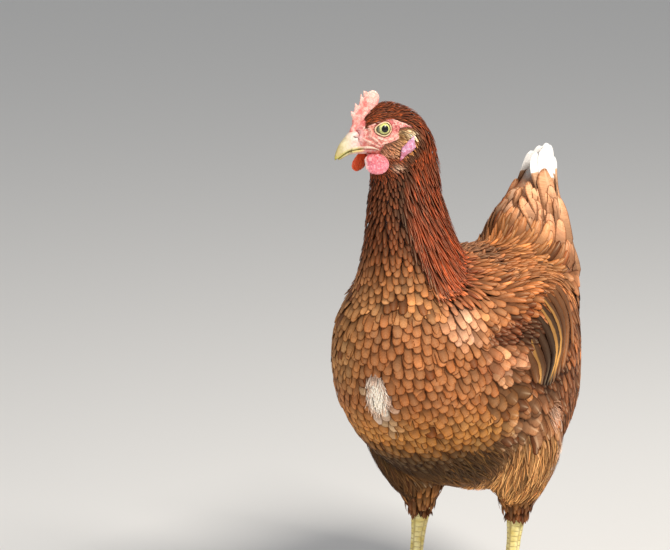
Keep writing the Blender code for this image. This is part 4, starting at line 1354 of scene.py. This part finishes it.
def featherMaterial():
    material, nodes, links, shader = newMaterial("feather vane")
    calc, mask, mix, noisy, point, bumped = toolsOf(nodes, links)
    times, plus = partial(calc, "MULTIPLY"), partial(calc, "ADD")
    tones, style = attributeNode(nodes, "tone"), attributeNode(nodes, "style")
    tone = tones.outputs["Color"]
    styles = nodes.new("ShaderNodeSeparateColor")
    links.new(style.outputs["Color"], styles.inputs[0])
    rimShare, shaftShare, whiteShare = styles.outputs
    uv = nodes.new("ShaderNodeUVMap")
    uv.uv_map = "vane"
    split = nodes.new("ShaderNodeSeparateXYZ")
    links.new(uv.outputs[0], split.inputs[0])
    beside, forward = split.outputs[:2]
    across = calc("ABSOLUTE", calc("MULTIPLY_ADD", beside, 2.0, -1.0))
    length = times(forward, times(style.outputs["Alpha"], 100.0))
    lot = times(tones.outputs["Alpha"], 37.0)  # another pattern for each feather

    # barbs run out and forward from the shaft
    swept = calc("SUBTRACT", length, times(across, 2.6))
    barbs = noisy(point(times(across, 1.4), times(swept, 1.5), lot), 1.0, 3.0)
    blotch = noisy(point(beside, times(length, 0.16), lot), 1.6, 2.0)
    darker = mix(1.0, tone, featherSet["blotch"], "MULTIPLY")
    colour = mix(times(mask(barbs, 0.35, 0.7), featherSet["barbs"]), tone, darker)
    colour = mix(times(mask(blotch, 0.45, 0.75), featherSet["blotches"]), colour, darker)

    # a pale field with a thin dark or golden rim; the dark rim is partly the feathers' own edge and partly
    # painted shadow of the gaps between overlapping feathers
    colour = mix(times(mask(across, 0.75, 0.2), 0.14), colour, mix(0.5, tone, featherSet["field"]))
    waver = calc("MULTIPLY_ADD", barbs, 0.10, -0.05)
    sideEdge = mask(plus(across, waver), 0.74, 0.92)
    tipEdge = mask(plus(forward, times(waver, 0.4)), 0.93, 0.98)
    golden = calc("GREATER_THAN", rimShare, featherSet["goldFrom"])
    darkRim = times(calc("MAXIMUM", sideEdge, tipEdge), times(rimShare, calc("SUBTRACT", 1.0, golden)))
    colour = mix(darkRim, colour, mix(1.0, tone, featherSet["dark"], "MULTIPLY"))
    goldRim = mask(plus(beside, waver), 0.6, 0.75)
    goldRim = times(goldRim, times(golden, mask(forward, 1.0, 0.8)))
    colour = mix(goldRim, colour, tuple(paint(*featherSet["gold"])))

    # a pale shaft, a dark root painted as the shade under the feathers that lie over it, and a white tip
    shaft = mask(calc("MULTIPLY_ADD", shaftShare, -0.2, across), 0.12, -0.05)
    shaft = times(shaft, times(shaftShare, mask(forward, 0.5, 0.95)))
    colour = mix(shaft, colour, mix(0.6, tone, featherSet["shaft"]))
    colour = mix(times(mask(forward, 0.92, 0.4), 0.6), colour, featherSet["root"])
    whiteness = plus(calc("SUBTRACT", calc("MULTIPLY_ADD", barbs, 0.05, forward), 1.025), whiteShare)
    whiteTip = times(mask(whiteness, 0.0, 0.02), calc("GREATER_THAN", whiteShare, 0.001))
    links.new(mix(whiteTip, colour, featherSet["white"]), shader.inputs["Base Color"])
    links.new(bumped(barbs, 0.5, featherSet["relief"]), shader.inputs["Normal"])
    setSockets(shader, {"Roughness": 0.6, "Specular IOR Level": 0.06})
    return material


featherFinish = featherMaterial()
skinFinish = mottledMaterial("hen skin", 1500, (0.80, 0.50, 0.44), 0.5, 0.0004, 0.5, 0.12)
fleshFinish = mottledMaterial("comb flesh", 1500, (0.94, 0.62, 0.58), 0.5, 0.0004, 0.45, 0.25)
lobeFinish = mottledMaterial("lobe flesh", 1100, (0.94, 0.66, 0.70), 0.45, 0.0004, 0.5, 0.2)
hornFinish = mottledMaterial("bill horn", 1300, (0.80, 0.66, 0.46), 0.4, 0.0002, 0.4, 0.05)
scaleFinish = mottledMaterial("leg scale", 1100, (0.75, 0.62, 0.42), 0.4, 0.0002, 0.42)
clawFinish = mottledMaterial("claw horn", 1400, (0.75, 0.62, 0.45), 0.35, 0.0001, 0.35)

# colours of the skin: dark under the plumage, mottled pinks on the face, cream on the lids, with painted
# highlights on the fold ridges and painted shade in the furrow round the lids
ahead, above, left = toHead(skinPlaces)
bareTone = paintAlong(
    above, (-22, (190, 66, 50)), (-15, (206, 108, 96)), (-8, (222, 142, 128)), (0, (222, 128, 126)),
    (8, (214, 104, 106)),
)
bareTone = tinted(bareTone, (236, 176, 172), soft(13, 19, ahead) * soft(-14, -10, above))
bareTone = tinted(bareTone, (204, 150, 108), blob(ahead, above, (11, 1), (3.5, 3)) * 0.6)
# painted highlight on the fold ridges, mixed with the skin's own pale mottling
bareTone = tinted(bareTone, (250, 214, 196), np.clip(wrinkle * 0.7 + fine * 0.7 + coarse * 0.5, 0, 0.65))
# the skin's own darker red mottling, with painted shade in the furrow round the lids
bareTone = tinted(bareTone, (186, 72, 68), np.clip(-fine * 0.5 - coarse * 0.8 + seat * 0.7, 0, 0.65))
# painted shade in the furrow round the lids
bareTone = tinted(bareTone, (90, 44, 36), seat * 0.75)
bareTone = tinted(bareTone, (128, 134, 108), membrane)
skinTone = np.empty((len(skin.data.vertices), 3))
skinTone[:skinVerts] = mixed(coat["tone"] * 0.45, bareTone, coat["bare"])
skinTone[skinVerts:] = paint(*faceSet["lidTone"])
setColours(skin.data, "tone", skinTone)


def finishPiece(obj, material, slotName, *replaced):
    obj.data.materials.clear()
    obj.data.materials.append(material)
    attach(obj, "root")
    if replaced:
        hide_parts(*replaced)


finishPiece(skin, skinFinish, "face_skin", *skinSet["nodes"])
for name, obj in coats.items():
    finishPiece(obj, featherFinish, slots[name])


# eyes and bill
eyeSet = {
    "gaze": (0.8, 0.5),  # middle of the pupil ahead and above, millimetres
    "pupil": 0.28,  # the reach of pupil, iris and ring is in centimetres
    "iris": 0.43,
    "ring": 0.47,
    "bulge": 0.45,  # of the cornea, millimetres
    "cornea": 4.0,
    "irisLight": (222, 226, 150),
    "irisDark": (176, 178, 92),
    "irisEdge": (38, 30, 20),
    "white": (150, 134, 108),
}


def eyePiece(side, name):
    low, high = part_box(name)
    bpy.ops.mesh.primitive_uv_sphere_add(segments=64, ring_count=48, radius=(high[2] - low[2]) / 2)
    obj = bpy.context.object
    obj.name = name + "_ball"
    places = placesOf(obj.data)
    gazeAhead, gazeAbove = eyeSet["gaze"]
    reach = np.hypot(places[:, 0] / mm - gazeAhead, places[:, 1] / mm - gazeAbove)
    cornea = np.clip(1 - (reach / eyeSet["cornea"]) ** 2, 0, 1) * (places[:, 2] > 0)
    places[:, 2] += cornea * eyeSet["bulge"] * mm
    fromAxis = np.where(places[:, 2] > 0, reach, 12.0)
    turned = np.array([tuple(leftWay * side * p[2] + aheadWay * p[0] + Vector((0, 0, p[1]))) for p in places])
    turnShare = np.arctan2(places[:, 1], places[:, 0]) / 7 + 0.5
    setColours(obj.data, "pupil", np.stack([fromAxis / 10, turnShare, cornea], axis=1))
    moveTo(obj.data, turned + np.array(middleOf(name)))
    turnOutward(obj)
    bpy.ops.object.shade_smooth()
    return obj


def eyeMaterial():
    material, nodes, links, shader = newMaterial("hen eye")
    calc, mask, mix, noisy, point, _ = toolsOf(nodes, links)
    split = nodes.new("ShaderNodeSeparateColor")
    links.new(attributeNode(nodes, "pupil").outputs["Color"], split.inputs[0])
    reach, turnShare = split.outputs[:2]
    fibres = noisy(point(calc("MULTIPLY", reach, 4.0), calc("MULTIPLY", turnShare, 90.0)), 1.0, 3.0)
    pupil, iris, ring = eyeSet["pupil"], eyeSet["iris"], eyeSet["ring"]
    light, dark, edge, white = (
        tuple(paint(*eyeSet[name])) for name in ("irisLight", "irisDark", "irisEdge", "white")
    )
    colour = mix(mask(fibres, 0.35, 0.65), light, dark)
    colour = mix(mask(reach, pupil + 0.005, pupil - 0.005), colour, (0.002, 0.002, 0.002))
    colour = mix(mask(reach, iris - 0.015, iris + 0.01), colour, edge)
    colour = mix(mask(reach, ring, ring + 0.04), colour, white)
    links.new(colour, shader.inputs["Base Color"])
    setSockets(
        shader, {"Roughness": 0.4, "Specular IOR Level": 0.2, "Coat Weight": 0.5, "Coat Roughness": 0.03},
    )
    return material


beakSet = {
    # cutting edge ahead and above, ridge or lower rim ahead and above, half width, all in millimetres
    "upper": (
        (12, -14.6, 12, -2.0, 8.2), (17, -14.9, 17, -1.2, 7.5), (21.5, -15.2, 22.0, -1.4, 6.7),
        (25, -15.9, 25.5, -3.8, 5.6), (28, -17.1, 28.6, -7.0, 4.7), (30.6, -18.9, 31.8, -10.7, 3.7),
        (32.8, -20.7, 34.1, -14.4, 2.7), (34.6, -22.0, 35.8, -18.2, 1.7), (35.7, -22.9, 36.5, -21.0, 0.9),
        (36.3, -23.5, 36.4, -23.0, 0.25),
    ),
    "lower": (
        (12, -15.6, 12, -19.8, 7.4), (17, -15.7, 17, -19.6, 6.3), (21.5, -15.9, 21.5, -19.5, 5.4),
        (25, -16.6, 25, -20.1, 4.4), (28, -17.9, 28, -21.3, 3.5), (30.6, -19.6, 30.6, -22.6, 2.6),
        (32.4, -21.2, 32.4, -23.3, 1.5), (33.3, -22.6, 33.4, -23.4, 0.6),
    ),
    # edges of the mouth back to its corner: ahead, above, half height, thickness
    "lipAbove": (
        (24.5, -14.6, 1.1, 0.5), (20, -13.7, 1.4, 0.8), (15, -13.2, 1.35, 0.9), (10, -13.7, 1.1, 0.9),
        (6, -14.8, 0.75, 0.7), (3.4, -16.0, 0.4, 0.4),
    ),
    "lipBelow": (
        (24.5, -16.9, 0.8, 0.4), (20, -16.6, 1.1, 0.7), (15, -16.3, 1.0, 0.8), (10, -16.4, 0.8, 0.7),
        (5.5, -16.7, 0.4, 0.4),
    ),
    "upperForm": dict(steps=6, around=32, boxy=0.85, blunt=0.92, hollow=0.22, hollowSteps=8),
    "lowerForm": dict(steps=5, around=24, boxy=1, blunt=0.8, hollow=-0.15, hollowSteps=6),
    "nostril": (20.8, -5.9),
    "nostrilSize": (2.0, 0.75),
    # line between the two halves: (ahead, above)
    "cut": (
        (3.8, -15.9), (10, -14.8), (15, -14.9), (21.5, -15.3), (25, -16.0), (28, -17.2), (30.6, -19.0),
        (32.8, -20.8), (34.5, -22.4),
    ),
    "side": ((3, 11.2), (10, 9.6), (17, 8.0), (21.5, 6.9), (25, 5.7)),  # ahead, and how far out the lips lie
    "lipSides": 10,
    "lipSearch": 30,
    "lipTrust": 2.5,
}


def billHalf(name, keys, steps, around, boxy, blunt, hollow, hollowSteps):
    rings = []
    for edgeAhead, edgeAbove, outerAhead, outerAbove, half in rowsThrough(keys, steps):
        ring = []
        for i in range(around + 1):
            a = math.pi * i / around
            wide = math.copysign(abs(math.cos(a)) ** boxy, math.cos(a)) * half
            far = math.sin(a) ** blunt
            ahead = edgeAhead + (outerAhead - edgeAhead) * far
            above = edgeAbove + (outerAbove - edgeAbove) * far
            ring.append(headPoint(ahead, above, wide))
        for i in range(1, hollowSteps):  # hollow on the inside
            k = i / hollowSteps
            above = edgeAbove + half * hollow * math.sin(math.pi * k)
            ring.append(headPoint(edgeAhead, above, -half + 2 * half * k))
        rings.append(ring)
    return loft(name, rings)


def lip(side, keys):  # edge of the mouth, from the bill back over the cheek
    rings, lastOut = [], None
    turns = roundTurn(beakSet["lipSides"])
    for ahead, above, tall, thick in rowsThrough(keys, 6):
        hit = faceGround.ray_cast(headPoint(ahead, above, side * beakSet["lipSearch"]), -leftWay * side)
        out = along(ahead, *beakSet["side"])
        if hit[0] is not None:
            found = abs((hit[0] - headPlace).dot(leftWay)) / mm
            if abs(found - out) < beakSet["lipTrust"]:
                out = found
        lastOut = out if lastOut is None else lastOut * 0.6 + out * 0.4
        ring = [(above + math.cos(b) * tall, side * (lastOut + math.sin(b) * thick)) for b in turns]
        rings.append([headPoint(ahead, high, wide) for high, wide in ring])
    return loft("lip", rings)


def nostrilPlace(ahead, above):  # along and up from the slit, in millimetres
    slitAhead, slitAbove = beakSet["nostril"]
    return ahead - slitAhead, (above - slitAbove) - 0.25 * (ahead - slitAhead)


def fromNostril(forward, up):
    long, tall = beakSet["nostrilSize"]
    return np.hypot(forward / long, up / tall)


def beakTone(obj, upper):
    places = placesOf(obj.data)
    ahead, above, _ = toHead(places)
    cloud, patches = ripple(places, 420, 8), ripple(places, 260, 14)
    tone = paintAlong(
        ahead, (14, (222, 140, 140)), (20, (234, 178, 172)), (24, (228, 200, 186)), (28, (224, 212, 184)),
        (33, (214, 200, 144)), (36.5, (190, 168, 98)),
    )
    tone = tinted(tone, (255, 240, 232), np.clip(cloud * 1.6, 0, 0.7) * soft(28, 19, ahead))
    tone = tinted(tone, (186, 170, 128), np.clip(patches * 0.9, 0, 0.45) * soft(20, 26, ahead))
    cut = along(ahead, *beakSet["cut"])
    fromCut = np.abs(above - cut)
    tone = tinted(tone, (196, 190, 84), soft(3.0, 0.6, fromCut) * soft(12, 20, ahead) * 0.75)
    # painted shade in the cleft between the two halves of the bill
    tone = tinted(tone, (130, 118, 58), soft(0.7, 0.0, fromCut) * soft(2, 9, ahead) * 0.7)
    tone = tinted(tone, (244, 226, 204), soft(18, 13, ahead) * soft(2.6, 1.2, np.abs(above - cut - 1)) * 0.8)
    if upper:
        forward, up = nostrilPlace(ahead, above)
        # painted shade in the nostril opening
        tone = tinted(tone, (70, 46, 40), soft(1.25, 0.6, fromNostril(forward, up)))
    setColours(obj.data, "tone", tone)


faceGround = BVHTree.FromObject(skin, bpy.context.evaluated_depsgraph_get())
upper = billHalf("upper_bill", beakSet["upper"], **beakSet["upperForm"])
bill = placesOf(upper.data)
ahead, above, left = toHead(bill)
forward, up = nostrilPlace(ahead, above)
dent = soft(1.6, 0.5, fromNostril(forward, up)) * 1.1  # the nostril and the fold over it
hood = soft(1.0, 0.2, np.hypot(forward / 2.6, (up - 1.35) / 0.9)) * 0.05
bill += pushed(leftWay, np.sign(left) * (hood - dent) * (np.abs(left) > 2) * mm)
rough = ripple(bill, 420, 3) * 0.10 + ripple(bill, 600, 6) * 0.22 * soft(25, 19, ahead)
bill += normalsOf(upper.data) * (rough * mm)[:, None]
moveTo(upper.data, bill)
upper = joinedInto(upper, *[lip(side, beakSet["lipAbove"]) for side, _ in sides])
beakTone(upper, True)
lower = billHalf("lower_bill", beakSet["lower"], **beakSet["lowerForm"])
lower = joinedInto(lower, *[lip(side, beakSet["lipBelow"]) for side, _ in sides])
beakTone(lower, False)
finishPiece(upper, hornFinish, "horn", "beak_upper")
finishPiece(lower, hornFinish, "horn", "beak_lower")
eyeFinish = eyeMaterial()
for side, name in sides:
    finishPiece(eyePiece(side, "eye_" + name), eyeFinish, "eye", "eye_" + name)
print("bill and eyes")


# comb, wattles and ear lobes
def fleshPiece(node, kind, reshape, tone, material, slotName):
    grain, bumps = fleshSet[kind]
    obj = remeshed(node, node + "_flesh", grain, fleshSet["smoothing"])
    places = reshape(placesOf(obj.data))
    moveTo(obj.data, places)
    for scale, height in bumps:
        places = places + normalsOf(obj.data) * (ripple(places, scale, scale) * height * mm)[:, None]
        moveTo(obj.data, places)
    setColours(obj.data, "tone", tone(*toHead(places), places))
    finishPiece(obj, material, slotName, node)


def combRise(ahead, above):  # height over the line of the comb's foot
    return above + 0.62 * ahead


def combShape(places):  # thick at the foot, thin and waving at the points
    ahead, above, left = toHead(places)
    rise = combRise(ahead, above)
    thin = along(rise, (7, 1.5), (12, 1.15), (20, 0.85), (30, 0.62))
    wave = np.sin(above / 5.0) * 0.3 * mm * soft(10, 20, rise)
    return places + pushed(leftWay, (left - np.median(left)) * (thin - 1) * mm + wave)


def lobeShape(places):  # wide above, narrow and curved below
    ahead, above, _ = toHead(places)
    off = ahead - np.median(ahead) + (above - np.median(above)) * 0.55
    wider = bell(above, -15, 4.4) - 0.55
    forward = 2.0 * bell(above, -23, 4.5) + 0.3
    places = places + pushed(aheadWay, off * wider + forward) * mm
    places[:, 2] += soft(-14, -7, above) * 0.9 * mm
    return places


def wattleShape(places):  # fuller at the upper corners, most in front
    ahead, above, left = toHead(places)
    right = float(np.median(left) < 0)
    fromMiddle = ahead - (ahead.min() + ahead.max()) / 2
    up = above - (above.min() + above.max()) / 2
    diagonal = np.abs(np.sin(2 * np.arctan2(up, fromMiddle))) * (up > 0)
    corner = diagonal * np.where(fromMiddle > 0, 0.32, 0.14) * (1 - right)
    forward = fromMiddle * corner + right * 1.2
    rise = up * corner - np.minimum(up, 0) * 0.12 * (1 - right)
    return places + (pushed(aheadWay, forward) + pushed((0, 0, 1.0), rise)) * mm


def combTone(ahead, above, left, places):
    tone = paintAlong(
        combRise(ahead, above), (8, (206, 80, 80)), (12, (226, 134, 126)), (20, (238, 180, 168)),
        (32, (242, 198, 184)),
    )
    spots, drops = ripple(places, 520, 2), ripple(places, 240, 7)
    tone = tinted(tone, (252, 228, 214), np.clip(spots * 0.9 + drops * 0.6, 0, 0.7))
    tone = tinted(tone, (214, 98, 92), np.clip(-spots * 0.7 - drops * 0.7 - 0.12, 0, 0.5))
    points = blob(ahead, above, (15.5, 13.5), (2.2, 2.6)) + blob(ahead, above, (11, 19.5), (2.0, 3))
    return tinted(tone, (220, 84, 78), np.clip(points, 0, 0.75))


def wattleTone(ahead, above, left, places):
    tone = paintAlong(above, (-37, (214, 130, 138)), (-28, (210, 118, 132)), (-20, (184, 72, 74)))
    spots, veins = ripple(places, 620, 4), np.abs(ripple(places, 420, 9))
    tone = tinted(tone, (250, 210, 212), np.clip(spots, 0, 0.45))
    tone = tinted(tone, (212, 96, 112), soft(0.10, 0.0, veins) * 0.5)
    near = np.where(left > 0, 1.0, 0.0)
    levels = np.linspace(above.min(), above.max(), 14)
    front = np.interp(above, levels, [ahead[np.abs(above - level) < 1.5].max() for level in levels])
    # painted highlight along the front edge of the near wattle
    tone = tinted(tone, (252, 232, 224), near * soft(1.8, 0.6, front - ahead) * 0.75)
    # painted light shining through the far wattle, turning it bright orange-red
    return tinted(tone, (255, 104, 46), (1 - near) * 0.9)


def lobeTone(ahead, above, left, places):
    tone = paintAlong(above, (-25, (190, 84, 98)), (-18, (190, 122, 144)), (-8, (188, 144, 172)))
    tone = tinted(tone, (244, 214, 236), np.clip(ripple(places, 480, 6) * 1.4, 0, 0.5))
    return tinted(tone, (214, 128, 156), np.clip(-ripple(places, 400, 2) * 1.1, 0, 0.5))


fleshSet = {
    # size of the faces, and bumps: how many to the metre and how high in millimetres
    "comb": (0.5 * mm, ((260, 0.30), (800, 0.14))),
    "wattle": (0.45 * mm, ((230, 0.30), (700, 0.18))),
    "ear_lobe": (0.45 * mm, ((350, 0.35), (900, 0.18))),
    "smoothing": 2,
}
fleshPiece("comb", "comb", combShape, combTone, fleshFinish, "comb_skin")
for _, side in sides:
    fleshPiece("wattle_" + side, "wattle", wattleShape, wattleTone, fleshFinish, "comb_skin")
    fleshPiece("ear_lobe_" + side, "ear_lobe", lobeShape, lobeTone, lobeFinish, "ear_lobe")
print("comb, wattles and lobes")


# legs, toes and claws
legSet = {
    "grain": 0.7 * mm,
    "clawGrain": 0.35 * mm,
    "smoothing": 3,
    "rows": (62, 64),  # degrees round the shank where the side rows start, and where their seam lies
    "scutes": (118, 96),  # degrees over which the scutes turn into small scales behind
    "smallScales": 480,  # to the metre
    "shankScale": 4.3,  # height of one scute, millimetres
    "toeScale": 3.0,
    "lift": 0.42,
    "tone": (224, 204, 112),
    "light": (250, 240, 180),
    "groove": (140, 112, 60),
    "nearFloor": (188, 150, 84),
    "claw": ((0, (196, 170, 120)), (0.5, (214, 196, 156)), (1, (176, 158, 128))),  # from root to tip
}


def legPiece(node, start, end, top, pitch):
    obj = remeshed(node, node + "_scaled", legSet["grain"], legSet["smoothing"])
    places = placesOf(obj.data)
    normals = normalsOf(obj.data)
    way = np.array((end - start).normalized())
    sideways = np.array(Vector(way).cross(top).normalized())
    front = np.cross(sideways, way)
    away = places - np.array(start)
    down = away @ way / mm
    fromAxis = away - (away @ way)[:, None] * way
    stations = np.linspace(down.min(), down.max(), 9)
    nearest = [np.argsort(np.abs(down - station))[:60] for station in stations]
    bow = np.interp(down, stations, [np.median((fromAxis @ front)[some]) for some in nearest])
    around = np.degrees(np.arctan2(fromAxis @ sideways, (fromAxis @ front) - bow))
    sideRow, seamPlace = legSet["rows"]
    column = (around > 0) * 0.5 + (np.abs(around) > sideRow) * 0.25
    t = (down / pitch + column) % 1.0
    big = soft(*legSet["scutes"], np.abs(around))
    seam = bell(around, 0, 7) + bell(np.abs(around), seamPlace, 6)
    step = bell(t, 1, 0.10) + bell(t, 0, 0.06)
    groove = np.clip(np.maximum(step, seam * 0.8), 0, 1)
    cells = [noise.voronoi(Vector(p) * legSet["smallScales"])[0] for p in places]
    groove = groove * big + soft(0.22, 0.03, np.array([d[1] - d[0] for d in cells])) * (1 - big)
    rise = big * (0.5 + 0.5 * t) + (1 - big) * 0.5
    moveTo(obj.data, places + normals * ((rise * 0.55 - groove * 0.75) * legSet["lift"] * mm)[:, None])
    tone = np.tile(paint(*legSet["tone"]), (len(places), 1))
    tone = tinted(tone, legSet["light"], np.clip(0.5 + ripple(places, 160, 3), 0, 1) * 0.8)
    tone = tinted(tone, legSet["groove"], groove * 0.75)
    # browner and darker within about 12 mm of the floor
    tone = tinted(tone, legSet["nearFloor"], soft(0.012, 0.004, places[:, 2]) * 0.5)
    setColours(obj.data, "tone", tone)
    finishPiece(obj, scaleFinish, "leg_scale", node)


def clawPiece(node, foot):
    obj = remeshed(node, node + "_horn", legSet["clawGrain"], legSet["smoothing"])
    reach = np.linalg.norm(placesOf(obj.data) - np.array(foot), axis=1)
    reach = (reach - reach.min()) / (reach.max() - reach.min())
    setColours(obj.data, "tone", paintAlong(reach, *legSet["claw"]))
    finishPiece(obj, clawFinish, "horn", node)


for _, side in sides:
    hock, _ = hockOf(side)
    foot = Vector((hock.x, hock.y - bodySet["hockToFoot"], bodySet["footHeight"]))
    legPiece("shank_" + side, hock, foot, Vector((0, -1, 0)), legSet["shankScale"])
    for toe in ("middle", "inner", "outer", "hind"):
        node = "toe_" + toe + "_" + side
        root = Vector((foot.x, foot.y, bodySet["toeHeight"]))
        tip = Vector((*middleOf(node)[:2], bodySet["toeHeight"]))
        legPiece(node, root, tip, Vector((0, 0, 1)), legSet["toeScale"])
        clawPiece("claw_" + toe + "_" + side, foot)
print("legs")


# floor and light
floorSet = {"size": 60, "colour": (0.72, 0.71, 0.69), "roughness": 0.8}

bpy.ops.mesh.primitive_plane_add(size=floorSet["size"])
floor = bpy.context.object
floor.name = "studio_floor"
floorFinish, *_, shader = newMaterial("pale floor")
setSockets(shader, {"Base Color": (*floorSet["colour"], 1), "Roughness": floorSet["roughness"]})
floor.data.materials.append(floorFinish)

lightSet = {
    "middle": (0, 0, 0.25),  # what the lights stand round
    "air": (0.95, 0.97, 1.0),
    "airPower": 0.42,
    # azimuth, elevation, distance, size, power, colour
    "key": (82, 52, 2.2, 0.7, 62, (1.0, 0.95, 0.88)),
    "fill": (-5, 25, 2.6, 1.6, 14, (0.97, 0.97, 1.0)),
}
world = bpy.data.worlds.new("studio air")
bpy.context.scene.world = world
world.use_nodes = True
airSockets = {"Color": (*lightSet["air"], 1), "Strength": lightSet["airPower"]}
setSockets(world.node_tree.nodes["Background"], airSockets)


def softLight(name):
    azimuth, elevation, distance, size, power, colour = lightSet[name]
    a, e = math.radians(azimuth), math.radians(elevation)
    way = Vector((math.sin(a) * math.cos(e), -math.cos(a) * math.cos(e), math.sin(e)))
    bpy.ops.object.light_add(type="AREA", location=Vector(lightSet["middle"]) + way * distance)
    light = bpy.context.object
    light.name = name
    light.rotation_euler = way.to_track_quat("Z", "Y").to_euler()
    light.data.size = size
    light.data.energy = power
    light.data.color = colour


softLight("key")
softLight("fill")
print("floor and light")
